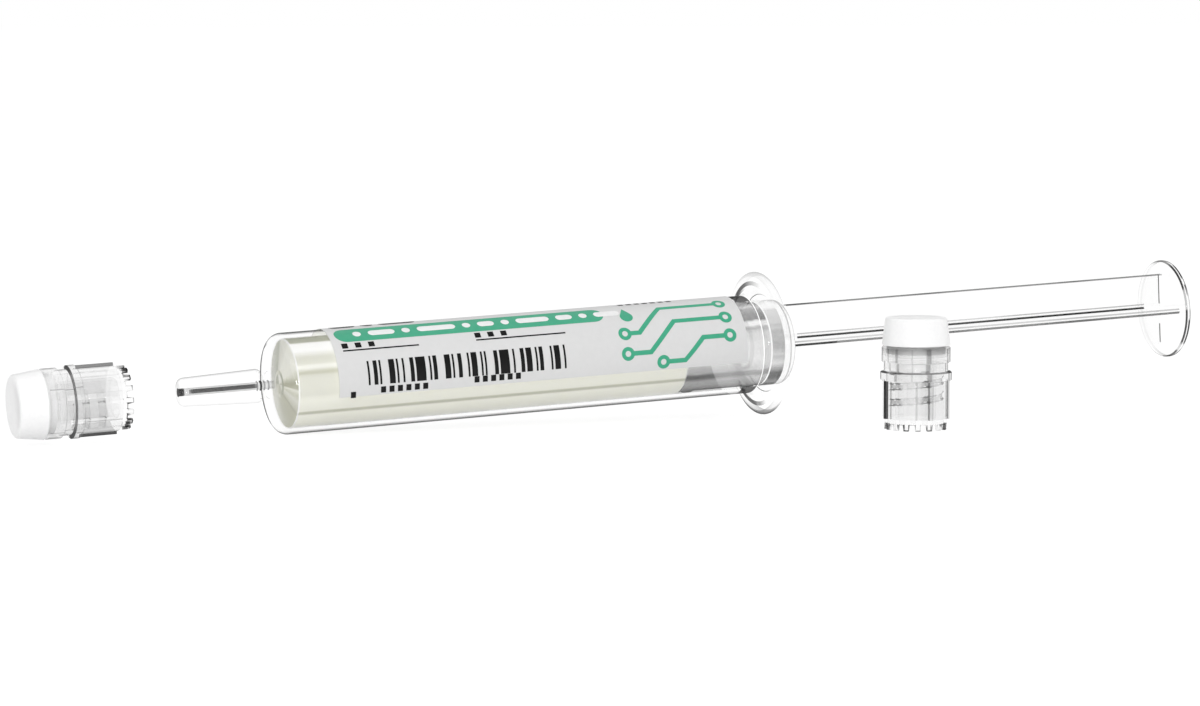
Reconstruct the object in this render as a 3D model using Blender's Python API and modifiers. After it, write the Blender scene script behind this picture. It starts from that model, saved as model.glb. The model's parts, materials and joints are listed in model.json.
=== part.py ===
# Flux syringe with a push-on nozzle cap and a second cap standing beside it.
# Every turned piece is drawn upright, with its axis on local Z. Stations along the
# syringe are counted from the shoulder of the barrel, positive towards the thumb disc.
# The syringe then lies on its flange and its shoulder, with the nozzle lowest.
from math import asin, atan2, cos, hypot, pi, radians, sin

import bmesh
import bpy
from mathutils import Matrix, Vector

MM = 0.001

# Running and seating clearances
SEAT_GAP = 0.3 * MM         # between faces that touch on the real thing
FLUX_GAP = 0.15 * MM        # between the flux and what holds it
LABEL_GAP = 0.05 * MM       # glue line under the label

# Barrel
BARREL_RADIUS = 10.0 * MM
BARREL_WALL = 1.05 * MM
BARREL_LENGTH = 103.1 * MM  # shoulder to mouth
SHOULDER_RADIUS = 2.4 * MM  # rounding between side and front
FRONT_RISE = 0.7 * MM       # how far the front swells out between rounding and neck
FRONT_WALL = 1.9 * MM       # thickness of the front beside the channel
MOUTH_CHAMFER = 0.35 * MM
FLANGE_RADIUS = 14.7 * MM
FLANGE_THICK = 1.8 * MM
FLANGE_FILLET = 2.3 * MM    # between the side of the barrel and the flange

# Nozzle, moulded on the barrel
NECK_RADIUS = 2.55 * MM
NECK_LENGTH = 1.9 * MM
NOZZLE_LENGTH = 16.6 * MM
NOZZLE_BASE_RADIUS = 3.36 * MM
NOZZLE_TIP_RADIUS = 2.82 * MM
NOZZLE_BASE_ROUND = 0.75 * MM
NOZZLE_TIP_ROUND = 1.15 * MM
CHANNEL_RADIUS = 0.75 * MM
THROAT_RADIUS = 2.4 * MM    # ring where the cone of the front meets the channel
THROAT_DEPTH = 0.9 * MM
CONE_DEPTH = 1.2 * MM       # fall of the inside of the front, from side to throat

# Label
LABEL_START = 8.0 * MM
LABEL_REAR = 7.8 * MM       # bare barrel between the label and the mouth
LABEL_THICK = 0.12 * MM
LABEL_LOW_STEPS = 2         # facets that it reaches below the side facing the viewer
LABEL_STEPS = 35            # facets that it covers in all

# Piston, with the flux filling all that is left before it
PISTON_LENGTH = 18.3 * MM
PISTON_WALL = 1.2 * MM
PISTON_FRONT = 2.2 * MM
PISTON_RIB = 0.25 * MM      # height of the sealing ribs
PISTON_RIB_WIDTH = 1.5 * MM
PISTON_RIB_INSET = 1.6 * MM
PISTON_GAP = 0.15 * MM      # between the sealing ribs and the bore

# Plunger rod
ROD_LENGTH = 96.9 * MM      # front face of the guide disc to the back of the thumb disc
GUIDE_DEPTH = 1.6 * MM      # how far the drawn rod is still in the mouth of the barrel
GUIDE_LENGTH = 5.6 * MM
GUIDE_GAP = 0.25 * MM       # between the guide disc and the bore
GUIDE_ROUND = 1.7 * MM
NOSE_RADIUS = 5.2 * MM      # spigot that centres the rod in the piston
NOSE_LENGTH = 3.2 * MM
NOSE_CHAMFER = 0.6 * MM
RIB_HALF_WIDTH = 7.5 * MM
RIB_THICK = 1.1 * MM
RIB_BEVEL = 0.12 * MM
RIB_ROOT = 0.4 * MM         # depth of the ribs inside the discs
THUMB_RADIUS = 10.35 * MM
THUMB_THICK = 1.1 * MM
THUMB_ROUND = 0.3 * MM

# Caps
CAP_LENGTH = 22.2 * MM
CAP_GAP = 0.19 * MM         # between the nozzle and the socket
CLOSURE_HEIGHT = 5.5 * MM
CLOSURE_BASE_RADIUS = 6.8 * MM
CLOSURE_TOP_RADIUS = 6.2 * MM
CLOSURE_ROUND = 0.6 * MM
CLOSURE_WALL = 1.1 * MM
SPIGOT_LENGTH = 1.7 * MM
SOCKET_WALL = 0.5 * MM
SLEEVE_WALL = 0.65 * MM
SKIRT_RADIUS = 6.8 * MM
SKIRT_HEIGHT = 3.1 * MM
WAIST_RADIUS = 6.35 * MM
WAIST_HEIGHT = 1.7 * MM
COLLAR_RADIUS = 7.1 * MM
COLLAR_HEIGHT = 1.9 * MM
WEB_THICK = 1.2 * MM
WEB_BELOW_SKIRT = 2.0 * MM
SOCKET_RECESS = 2.1 * MM    # how far the socket stops inside the toothed end
BASE_HEIGHT = 2.2 * MM
BASE_RADIUS = 6.2 * MM
GRIP_RIBS = 8
GRIP_RIB_WIDTH = 0.8 * MM
TEETH = 16
TOOTH_DEPTH = 1.2 * MM

# Where the caps are
CAP_OFF = 10.5 * MM         # free space between the nozzle tip and the cap taken off
SPARE_BEHIND = 16.2 * MM    # the standing cap, behind the mouth of the barrel and to its side
SPARE_SIDE = 37.4 * MM

SEGMENTS = 48               # facets round every turned piece
ARC_STEP = radians(24)      # one edge of a rounded corner turns through about this

# Values that follow
BORE_RADIUS = BARREL_RADIUS - BARREL_WALL
FLANGE_ROUND = FLANGE_THICK / 2
FRONT_STATION = -SHOULDER_RADIUS - FRONT_RISE
NECK_STATION = FRONT_STATION - NECK_LENGTH
TIP_STATION = NECK_STATION - NOZZLE_LENGTH
CHANNEL_STATION = FRONT_STATION + FRONT_WALL - THROAT_DEPTH
THROAT_STATION = FRONT_STATION + FRONT_WALL
CONE_STATION = THROAT_STATION + CONE_DEPTH
LABEL_LENGTH = BARREL_LENGTH - LABEL_REAR - LABEL_START
GUIDE_START = BARREL_LENGTH - GUIDE_DEPTH
GUIDE_RADIUS = BORE_RADIUS - GUIDE_GAP
PISTON_START = GUIDE_START - SEAT_GAP - PISTON_LENGTH
PISTON_RADIUS = BORE_RADIUS - PISTON_GAP - PISTON_RIB
FLUX_END = PISTON_START - SEAT_GAP
FLUX_RADIUS = BORE_RADIUS - FLUX_GAP
SOCKET_RADIUS = NOZZLE_BASE_RADIUS + CAP_GAP
SOCKET_OUTER = SOCKET_RADIUS + SOCKET_WALL
SLEEVE_TOP = CAP_LENGTH - CLOSURE_HEIGHT - SEAT_GAP
WEB_TOP = SLEEVE_TOP - WEB_BELOW_SKIRT
CAP_STATION = TIP_STATION - CAP_OFF     # toothed end of the cap taken off
SPARE_STATION = BARREL_LENGTH + SPARE_BEHIND
SIDE_STEP = 2 * pi / SEGMENTS


def arc(centre_radius, centre_station, radius, start, end):
    """Points of an arc in the half plane of a profile, angles in degrees from +X."""
    start, end = radians(start), radians(end)
    count = max(2, round(abs(end - start) / ARC_STEP))
    return [
        (centre_radius + radius * cos(start + (end - start) * i / count),
         centre_station + radius * sin(start + (end - start) * i / count))
        for i in range(count + 1)
    ]


def make_material(name, colour, roughness, transmission=0.0):
    material = bpy.data.materials.new(name)
    material.use_nodes = True
    material.diffuse_color = (*colour, 1.0 - 0.6 * transmission)
    shader = material.node_tree.nodes["Principled BSDF"]
    shader.inputs["Base Color"].default_value = (*colour, 1.0)
    shader.inputs["Roughness"].default_value = roughness
    shader.inputs["Metallic"].default_value = 0.0
    shader.inputs["Transmission Weight"].default_value = transmission
    return material


def make_empty(name, location, rotation_y, parent=None):
    empty = bpy.data.objects.new(name, None)
    empty.empty_display_size = 10 * MM
    empty.location = location
    empty.rotation_euler = (0.0, rotation_y, 0.0)
    empty.parent = parent
    part_collection.objects.link(empty)
    return empty


def add_object(name, mesh, material, parent, station, collection):
    obj = bpy.data.objects.new(name, mesh)
    collection.objects.link(obj)
    if material:
        mesh.materials.append(material)
    obj.parent = parent
    obj.location = (0.0, 0.0, station)
    return obj


def turned(name, profile, closed, material, parent, station=0.0, collection=None):
    """A profile of (radius, station) points turned about local Z with a Screw modifier."""
    mesh = bpy.data.meshes.new(name)
    count = len(profile)
    edges = [(i, i + 1) for i in range(count - 1)]
    if closed:
        edges.append((count - 1, 0))
    mesh.from_pydata([(radius, 0.0, z) for radius, z in profile], edges, [])
    obj = add_object(name, mesh, material, parent, station, collection or part_collection)
    screw = obj.modifiers.new("Turn", "SCREW")
    screw.axis = "Z"
    screw.steps = screw.render_steps = SEGMENTS
    screw.use_merge_vertices = True
    screw.merge_threshold = 0.000001
    screw.use_smooth_shade = True
    return obj


def box_mesh(name, size, centre, turn=0.0):
    """A box of the given size, moved to its centre and then turned about local Z."""
    mesh = bpy.data.meshes.new(name)
    shape = bmesh.new()
    bmesh.ops.create_cube(shape, size=1.0)
    bmesh.ops.scale(shape, vec=Vector(size), verts=shape.verts)
    bmesh.ops.translate(shape, vec=Vector(centre), verts=shape.verts)
    bmesh.ops.rotate(shape, matrix=Matrix.Rotation(turn, 3, "Z"), verts=shape.verts)
    shape.to_mesh(mesh)
    shape.free()
    return mesh


def add_cutter(name, mesh, parent, station):
    cutter = add_object(name, mesh, None, parent, station, cutter_collection)
    cutter.hide_render = True
    cutter.display_type = "WIRE"
    return cutter


def combine(obj, cutter, operation):
    boolean = obj.modifiers.new(operation.title(), "BOOLEAN")
    boolean.operation = operation
    boolean.solver = "EXACT"
    boolean.object = cutter


def make_barrel(parent, material):
    rear = BARREL_LENGTH
    front_face = rear - FLANGE_THICK
    nozzle_start = NECK_STATION
    profile = [(BORE_RADIUS + MOUTH_CHAMFER, rear)]
    profile += arc(FLANGE_RADIUS - FLANGE_ROUND, rear - FLANGE_ROUND, FLANGE_ROUND, 90, -90)
    profile += arc(BARREL_RADIUS + FLANGE_FILLET, front_face - FLANGE_FILLET, FLANGE_FILLET, 90, 180)
    profile += arc(BARREL_RADIUS - SHOULDER_RADIUS, 0.0, SHOULDER_RADIUS, 0, -80)
    profile += [(NECK_RADIUS + NOZZLE_BASE_ROUND, FRONT_STATION), (NECK_RADIUS, FRONT_STATION - MOUTH_CHAMFER)]
    profile += [(NECK_RADIUS, nozzle_start)]
    profile += arc(NOZZLE_BASE_RADIUS - NOZZLE_BASE_ROUND, nozzle_start - NOZZLE_BASE_ROUND,
                   NOZZLE_BASE_ROUND, 60, 0)
    profile += arc(NOZZLE_TIP_RADIUS - NOZZLE_TIP_ROUND, TIP_STATION + NOZZLE_TIP_ROUND,
                   NOZZLE_TIP_ROUND, 0, -90)
    profile += [(CHANNEL_RADIUS, TIP_STATION), (CHANNEL_RADIUS, CHANNEL_STATION)]
    profile += [(THROAT_RADIUS, THROAT_STATION), (BORE_RADIUS, CONE_STATION)]
    profile += [(BORE_RADIUS, rear - MOUTH_CHAMFER)]
    return turned("barrel", profile, True, material, parent)


def make_label(parent, material):
    """A sheet bent round the barrel. It leaves a strip of the side open as a window."""
    mesh = bpy.data.meshes.new("label")
    sheet = bmesh.new()
    bmesh.ops.create_grid(sheet, x_segments=2, y_segments=LABEL_STEPS, size=0.5)
    radius = BARREL_RADIUS + LABEL_GAP
    for vertex in sheet.verts:
        along = LABEL_START + (vertex.co.x + 0.5) * LABEL_LENGTH
        turn = ((vertex.co.y + 0.5) * LABEL_STEPS - LABEL_LOW_STEPS) * SIDE_STEP
        vertex.co = (-radius * sin(turn), -radius * cos(turn), along)
    sheet.to_mesh(mesh)
    sheet.free()
    mesh.shade_smooth()
    obj = add_object("label", mesh, material, parent, 0.0, part_collection)
    solid = obj.modifiers.new("Paper", "SOLIDIFY")
    solid.thickness = LABEL_THICK
    solid.offset = 1.0
    return obj


def make_flux(parent, material):
    nub = THROAT_RADIUS - FLUX_GAP
    profile = [(0.0, FLUX_END), (FLUX_RADIUS, FLUX_END), (FLUX_RADIUS, CONE_STATION + FLUX_GAP),
               (nub, THROAT_STATION + FLUX_GAP), (0.0, THROAT_STATION + FLUX_GAP)]
    return turned("flux_charge", profile, False, material, parent)


def make_piston(parent, material):
    rib_radius = PISTON_RADIUS + PISTON_RIB
    front_rib = PISTON_RIB_INSET + PISTON_RIB_WIDTH
    rear_rib = PISTON_LENGTH - PISTON_RIB_INSET - PISTON_RIB_WIDTH
    cavity = rib_radius - PISTON_RIB - PISTON_WALL
    profile = [(cavity, PISTON_LENGTH), (PISTON_RADIUS, PISTON_LENGTH)]
    for low in (rear_rib, front_rib - PISTON_RIB_WIDTH):
        profile += [(PISTON_RADIUS, low + PISTON_RIB_WIDTH), (rib_radius, low + PISTON_RIB_WIDTH - PISTON_RIB),
                    (rib_radius, low + PISTON_RIB), (PISTON_RADIUS, low)]
    profile += [(PISTON_RADIUS, 0.0), (0.0, 0.0)]
    inner = [(0.0, PISTON_FRONT), (cavity - PISTON_WALL, PISTON_FRONT), (cavity, PISTON_FRONT + PISTON_WALL)]
    return turned("piston", profile[1:] + inner + [profile[0], profile[1]], False, material, parent, PISTON_START)


def make_rod(parent, material):
    """Guide disc with its nose, four ribs and the thumb disc, moulded in one."""
    profile = [(0.0, GUIDE_LENGTH)]
    profile += arc(GUIDE_RADIUS - GUIDE_ROUND, GUIDE_LENGTH - GUIDE_ROUND, GUIDE_ROUND, 90, 0)
    profile += [(GUIDE_RADIUS, 0.0), (NOSE_RADIUS, 0.0), (NOSE_RADIUS, NOSE_CHAMFER - NOSE_LENGTH),
                (NOSE_RADIUS - NOSE_CHAMFER, -NOSE_LENGTH), (0.0, -NOSE_LENGTH)]
    rod = turned("plunger_rod", profile, False, material, parent, GUIDE_START)
    rib_length = ROD_LENGTH - GUIDE_LENGTH - THUMB_THICK + 2 * RIB_ROOT
    middle = GUIDE_LENGTH - RIB_ROOT + rib_length / 2
    for index, turn in enumerate((0.0, pi / 2)):
        mesh = box_mesh("rod_rib", (2 * RIB_HALF_WIDTH, RIB_THICK, rib_length), (0.0, 0.0, middle), turn)
        rib = add_cutter("rod_rib_%d" % (index + 1), mesh, parent, GUIDE_START)
        bevel = rib.modifiers.new("Edges", "BEVEL")
        bevel.width = RIB_BEVEL
        bevel.segments = 1
        combine(rod, rib, "UNION")
    low = ROD_LENGTH - THUMB_THICK
    edge = THUMB_RADIUS - THUMB_ROUND
    disc = [(0.0, ROD_LENGTH)] + arc(edge, ROD_LENGTH - THUMB_ROUND, THUMB_ROUND, 90, 0)
    disc += arc(edge, low + THUMB_ROUND, THUMB_ROUND, 0, -90) + [(0.0, low)]
    thumb = turned("rod_thumb_disc", disc, False, None, parent, GUIDE_START, cutter_collection)
    thumb.hide_render = True
    thumb.display_type = "WIRE"
    combine(rod, thumb, "UNION")
    return rod


def make_closure(name, parent, material):
    """The white end of a cap: a cup over the socket, with a spigot down into the skirt."""
    base = CAP_LENGTH - CLOSURE_HEIGHT
    spigot_outer = SKIRT_RADIUS - SLEEVE_WALL - SEAT_GAP
    inner = SOCKET_OUTER + SEAT_GAP
    top = CAP_LENGTH - CLOSURE_ROUND
    profile = [(0.0, CAP_LENGTH)] + arc(CLOSURE_TOP_RADIUS - CLOSURE_ROUND, top, CLOSURE_ROUND, 90, 0)
    profile += [(CLOSURE_BASE_RADIUS, base), (spigot_outer, base), (spigot_outer, base - SPIGOT_LENGTH),
                (inner, base - SPIGOT_LENGTH), (inner, CAP_LENGTH - CLOSURE_WALL), (0.0, CAP_LENGTH - CLOSURE_WALL)]
    return turned(name, profile, False, material, parent)


def make_sleeve(name, parent, material):
    """The clear end of a cap: skirt, waist, ribbed grip and toothed rim round the socket."""
    skirt_low = SLEEVE_TOP - SKIRT_HEIGHT
    waist_low = skirt_low - WAIST_HEIGHT
    collar_low = waist_low - COLLAR_HEIGHT
    upper_inner = SKIRT_RADIUS - SLEEVE_WALL
    lower_inner = BASE_RADIUS - SLEEVE_WALL
    socket_top = CAP_LENGTH - CLOSURE_WALL - SEAT_GAP
    profile = [(upper_inner, SLEEVE_TOP), (SKIRT_RADIUS, SLEEVE_TOP), (SKIRT_RADIUS, skirt_low),
               (WAIST_RADIUS, skirt_low), (WAIST_RADIUS, waist_low), (COLLAR_RADIUS, waist_low),
               (COLLAR_RADIUS, collar_low), (WAIST_RADIUS, collar_low), (WAIST_RADIUS, BASE_HEIGHT),
               (BASE_RADIUS, BASE_HEIGHT), (BASE_RADIUS, 0.0), (lower_inner, 0.0),
               (lower_inner, WEB_TOP - WEB_THICK), (SOCKET_OUTER, WEB_TOP - WEB_THICK),
               (SOCKET_OUTER, SOCKET_RECESS), (SOCKET_RADIUS, SOCKET_RECESS), (SOCKET_RADIUS, socket_top),
               (SOCKET_OUTER, socket_top), (SOCKET_OUTER, WEB_TOP), (upper_inner, WEB_TOP)]
    sleeve = turned(name, profile, True, material, parent)

    grip = bmesh.new()
    notches = bmesh.new()
    rib_deep = COLLAR_RADIUS - WAIST_RADIUS + SLEEVE_WALL / 2
    rib_high = collar_low - BASE_HEIGHT + SEAT_GAP
    tooth_wide = pi * BASE_RADIUS / TEETH
    for index in range(GRIP_RIBS):
        mesh = box_mesh("rib", (rib_deep, GRIP_RIB_WIDTH, rib_high),
                        (COLLAR_RADIUS - rib_deep / 2, 0.0, BASE_HEIGHT + rib_high / 2), 2 * pi * index / GRIP_RIBS)
        grip.from_mesh(mesh)
        bpy.data.meshes.remove(mesh)
    for index in range(TEETH):
        mesh = box_mesh("notch", (4 * SLEEVE_WALL, tooth_wide, 2 * TOOTH_DEPTH), (BASE_RADIUS, 0.0, 0.0),
                        2 * pi * (index + 0.5) / TEETH)
        notches.from_mesh(mesh)
        bpy.data.meshes.remove(mesh)
    for suffix, shape, operation in (("grip", grip, "UNION"), ("notches", notches, "DIFFERENCE")):
        mesh = bpy.data.meshes.new(name + "_" + suffix)
        shape.to_mesh(mesh)
        shape.free()
        combine(sleeve, add_cutter(name + "_" + suffix, mesh, parent, 0.0), operation)
    return sleeve


def lying_tilt():
    """Slope of a line under the rounded rim of the flange and the rounded shoulder."""
    rise = (FLANGE_RADIUS - FLANGE_ROUND) - (BARREL_RADIUS - SHOULDER_RADIUS)
    run = BARREL_LENGTH - FLANGE_ROUND
    return atan2(rise, run) + asin((FLANGE_ROUND - SHOULDER_RADIUS) / hypot(rise, run))


def centre_on_floor(root):
    """Moves the whole part so that its box stands on the floor, centred on the origin."""
    bpy.context.view_layer.update()
    graph = bpy.context.evaluated_depsgraph_get()
    points = []
    for obj in part_collection.objects:
        if obj.type == "MESH":
            shape = obj.evaluated_get(graph)
            points += [shape.matrix_world @ vertex.co for vertex in shape.data.vertices]
    low = [min(point[i] for point in points) for i in range(3)]
    high = [max(point[i] for point in points) for i in range(3)]
    root.location = (-(low[0] + high[0]) / 2, -(low[1] + high[1]) / 2, -low[2])


for existing in list(bpy.data.objects):
    bpy.data.objects.remove(existing, do_unlink=True)
part_collection = bpy.data.collections.new("flux_syringe")
cutter_collection = bpy.data.collections.new("cutters")
bpy.context.scene.collection.children.link(part_collection)
bpy.context.scene.collection.children.link(cutter_collection)

clear = make_material("clear_plastic", (0.93, 0.94, 0.94), 0.04, 1.0)
clear_soft = make_material("clear_cap_plastic", (0.90, 0.91, 0.91), 0.10, 0.9)
white = make_material("white_plastic", (0.92, 0.92, 0.92), 0.30)
paper = make_material("label_film", (0.72, 0.72, 0.72), 0.35)
flux = make_material("flux_gel", (0.80, 0.80, 0.68), 0.25)

tilt = lying_tilt()
root = make_empty("flux_syringe_frame", (0.0, 0.0, 0.0), 0.0)
axis_height = SHOULDER_RADIUS + (BARREL_RADIUS - SHOULDER_RADIUS) * cos(tilt)
lie = pi / 2 - tilt
barrel_axis = make_empty("barrel_axis", (0.0, 0.0, axis_height), lie, root)
plunger_axis = make_empty("plunger_axis", (0.0, 0.0, 0.0), 0.0, barrel_axis)
cap_axis = make_empty("cap_axis", (0.0, 0.0, CAP_STATION), pi, barrel_axis)
spare_axis = make_empty("spare_cap_axis", (SPARE_STATION, -SPARE_SIDE, 0.0), 0.0, root)

make_barrel(barrel_axis, clear)
make_label(barrel_axis, paper)
make_flux(barrel_axis, flux)
make_piston(plunger_axis, clear)
make_rod(plunger_axis, clear)
make_sleeve("nozzle_cap_sleeve", cap_axis, clear_soft)
make_closure("nozzle_cap_closure", cap_axis, white)
make_sleeve("spare_cap_sleeve", spare_axis, clear_soft)
make_closure("spare_cap_closure", spare_axis, white)
centre_on_floor(root)
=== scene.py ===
import json
from math import atan2, cos, hypot, pi, radians, sin

import bmesh
import bpy
from mathutils import Matrix, Vector


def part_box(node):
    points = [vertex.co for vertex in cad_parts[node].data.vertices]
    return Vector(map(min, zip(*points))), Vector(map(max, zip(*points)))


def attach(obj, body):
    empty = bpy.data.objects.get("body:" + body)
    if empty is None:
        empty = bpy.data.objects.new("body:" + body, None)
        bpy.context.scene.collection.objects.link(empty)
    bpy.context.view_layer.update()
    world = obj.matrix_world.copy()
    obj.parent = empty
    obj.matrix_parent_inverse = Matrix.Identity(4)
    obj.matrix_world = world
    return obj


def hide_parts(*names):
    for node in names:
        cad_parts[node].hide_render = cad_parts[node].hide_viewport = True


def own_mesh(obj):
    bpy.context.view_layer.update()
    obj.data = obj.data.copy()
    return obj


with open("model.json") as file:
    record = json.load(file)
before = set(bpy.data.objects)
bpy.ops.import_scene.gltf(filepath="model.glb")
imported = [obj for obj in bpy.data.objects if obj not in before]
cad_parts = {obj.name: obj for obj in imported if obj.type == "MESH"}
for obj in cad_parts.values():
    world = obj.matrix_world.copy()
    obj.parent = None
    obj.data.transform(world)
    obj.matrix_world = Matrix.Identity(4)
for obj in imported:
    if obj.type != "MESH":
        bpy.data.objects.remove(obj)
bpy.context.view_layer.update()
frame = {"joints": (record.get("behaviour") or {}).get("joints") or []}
mm = 0.001   # every size below is in millimetres, and stations count from the barrel's shoulder

# the syringe's own line, taken from the joint that the rod turns on
rodJoint = [joint for joint in frame["joints"] if joint["name"] == "rod_turn"][0]
rodJointStation = 107.1
along = Vector(rodJoint["axis"]).normalized()
shoulderPoint = Vector(rodJoint["pos_m"]) - along * rodJointStation * mm
across = Vector((0.0, 1.0, 0.0))
lyingTurn = Matrix((across.cross(along), across, along)).transposed().to_4x4()


def syringePlace(station=0.0, reverse=False):
    # local Z runs along the syringe towards the thumb disc, or back towards the nozzle
    turn = Matrix.Rotation(pi, 4, "Y") if reverse else Matrix.Identity(4)
    return Matrix.Translation(shoulderPoint + along * station * mm) @ lyingTurn @ turn @ Matrix.Scale(mm, 4)


def standingPlace(node):
    low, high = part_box(node)
    return Matrix.Translation(((low[0] + high[0]) / 2, (low[1] + high[1]) / 2, low[2])) @ Matrix.Scale(mm,
                                                                                                       4)


# shapes
def arcRows(radius, station, size, start, end, count, *slot):
    # (radius, station) points of a rounded corner
    turns = [radians(start + (end - start) * i / count) for i in range(count + 1)]
    return [(radius + size * cos(turn), station + size * sin(turn), *slot) for turn in turns]


def finishMesh(name, shape, place, materials, sharp=32.0):
    mesh = bpy.data.meshes.new(name)
    bmesh.ops.recalc_face_normals(shape, faces=shape.faces)
    shape.to_mesh(mesh)
    shape.free()
    mesh.transform(place)
    mesh.shade_smooth()
    mesh.set_sharp_from_angle(angle=radians(sharp))
    for material in materials:
        mesh.materials.append(material)
    piece = bpy.data.objects.new(name, mesh)
    bpy.context.scene.collection.objects.link(piece)
    return piece


def turnedPiece(name, rows, place, materials, steps=160, closed=True, sharp=32.0, sideSlot=0):
    # rows of (radius, station, slot of the faces that follow), turned about local Z; radius and station
    # may be functions of the angle, and faces that step sideways between two angles take sideSlot
    shape = bmesh.new()
    wrap = shape.loops.layers.uv.new("wrap")
    rings = []
    for row in rows:
        pole = not callable(row[0]) and row[0] < 1e-6
        ring = []
        for i in range(1 if pole else steps):
            angle = 2 * pi * i / steps
            radius, station = (value(angle) if callable(value) else value for value in row[:2])
            ring.append(shape.verts.new((radius * cos(angle), radius * sin(angle), station)))
        rings.append(ring)
    last = len(rings) if closed else len(rings) - 1
    for row in range(last):
        upper, lower = rings[row], rings[(row + 1) % len(rings)]
        slot = rows[row][2] if len(rows[row]) > 2 else 0
        for i in range(steps):
            j = (i + 1) % steps
            corners = [upper[i % len(upper)], lower[i % len(lower)], lower[j % len(lower)],
                       upper[j % len(upper)]]
            turns = [i, i, i + 1, i + 1]
            kept = [k for k in range(4) if corners[k] not in corners[:k]]
            if len(kept) < 3:
                continue
            face = shape.faces.new([corners[k] for k in kept])
            step = max(abs(hypot(*corners[0].co.xy) - hypot(*corners[3].co.xy)),
                       abs(corners[0].co.z - corners[3].co.z),
                       abs(hypot(*corners[1].co.xy) - hypot(*corners[2].co.xy)),
                       abs(corners[1].co.z - corners[2].co.z))
            face.material_index = sideSlot if step > 0.1 and len(kept) == 4 else slot
            for k, loop in zip(kept, face.loops):
                loop[wrap].uv = (turns[k] / steps, loop.vert.co.z * 0.01)
    return finishMesh(name, shape, place, materials, sharp)


def bevelledBar(name, size, centre, bevel, place, materials, pickSlot, cuts=()):
    # a long bar with small rounds, cut across at some planes; pickSlot chooses each face's slot from its
    # direction and place
    shape = bmesh.new()
    bmesh.ops.create_cube(shape, size=1.0)
    bmesh.ops.scale(shape, vec=Vector(size), verts=shape.verts)
    bmesh.ops.translate(shape, vec=Vector(centre), verts=shape.verts)
    bmesh.ops.bevel(shape, geom=shape.edges[:], offset=bevel, segments=2, profile=0.5, affect="EDGES")
    for direction, cut in cuts:
        parts = shape.verts[:] + shape.edges[:] + shape.faces[:]
        bmesh.ops.bisect_plane(shape, geom=parts, plane_co=Vector(direction) * cut, plane_no=direction)
    for face in shape.faces:
        face.normal_update()
        face.material_index = pickSlot(face.normal, face.calc_center_median())
    return finishMesh(name, shape, place, materials)


def applyModifiers(piece):
    # leaves the piece with the mesh that its modifiers make
    bpy.context.view_layer.update()
    shown = piece.evaluated_get(bpy.context.evaluated_depsgraph_get())
    mesh = bpy.data.meshes.new_from_object(shown)
    piece.modifiers.clear()
    piece.data = mesh
    return piece


def joinSolids(piece, others, sharp=32.0):
    # one body from several that overlap
    for other in others:
        join = piece.modifiers.new("join", "BOOLEAN")
        join.operation = "UNION"
        join.object = other
    applyModifiers(piece)
    for other in others:
        bpy.data.objects.remove(other, do_unlink=True)
    piece.data.shade_smooth()
    piece.data.set_sharp_from_angle(angle=radians(sharp))
    return piece


# materials
def startMaterial(name, colour, roughness):
    material = bpy.data.materials.new(name)
    material.use_nodes = True
    nodes, links = material.node_tree.nodes, material.node_tree.links
    shader = nodes["Principled BSDF"]
    shader.inputs["Base Color"].default_value = (*colour, 1.0)
    shader.inputs["Roughness"].default_value = roughness
    place = nodes.new("ShaderNodeTexCoord")
    return material, nodes, links, shader, place


def addNoise(nodes, links, place, scale, detail=3.0, source="Object"):
    noise = nodes.new("ShaderNodeTexNoise")
    noise.inputs["Scale"].default_value = scale
    noise.inputs["Detail"].default_value = detail
    links.new(place.outputs[source], noise.inputs["Vector"])
    return noise


def addRamp(nodes, links, source, stops):
    ramp = nodes.new("ShaderNodeValToRGB")
    elements = ramp.color_ramp.elements
    while len(elements) < len(stops):
        elements.new(0.5)
    for element, (position, colour) in zip(elements, stops):
        element.position = position
        element.color = (*colour, 1.0) if len(colour) == 3 else (colour[0], colour[0], colour[0], 1.0)
    links.new(source, ramp.inputs["Fac"])
    return ramp


def addMath(nodes, links, operation, first, second):
    # second is a socket or a plain number
    made = nodes.new("ShaderNodeMath")
    made.operation = operation
    links.new(first, made.inputs[0])
    if isinstance(second, float):
        made.inputs[1].default_value = second
    else:
        links.new(second, made.inputs[1])
    return made.outputs[0]


def addMix(nodes, links, share, first, second):
    # share is a socket or a plain number
    made = nodes.new("ShaderNodeMixShader")
    if isinstance(share, float):
        made.inputs["Fac"].default_value = share
    else:
        links.new(share, made.inputs["Fac"])
    links.new(first, made.inputs[1])
    links.new(second, made.inputs[2])
    return made.outputs["Shader"]


def addFilm(nodes, links, colour):
    film = nodes.new("ShaderNodeBsdfTransparent")
    links.new(colour, film.inputs["Color"])
    return film.outputs["BSDF"]


def addBump(nodes, links, source, shader, strength, distance):
    bump = nodes.new("ShaderNodeBump")
    bump.inputs["Strength"].default_value = strength
    bump.inputs["Distance"].default_value = distance
    links.new(source, bump.inputs["Height"])
    links.new(bump.outputs["Normal"], shader.inputs["Normal"])


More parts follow.
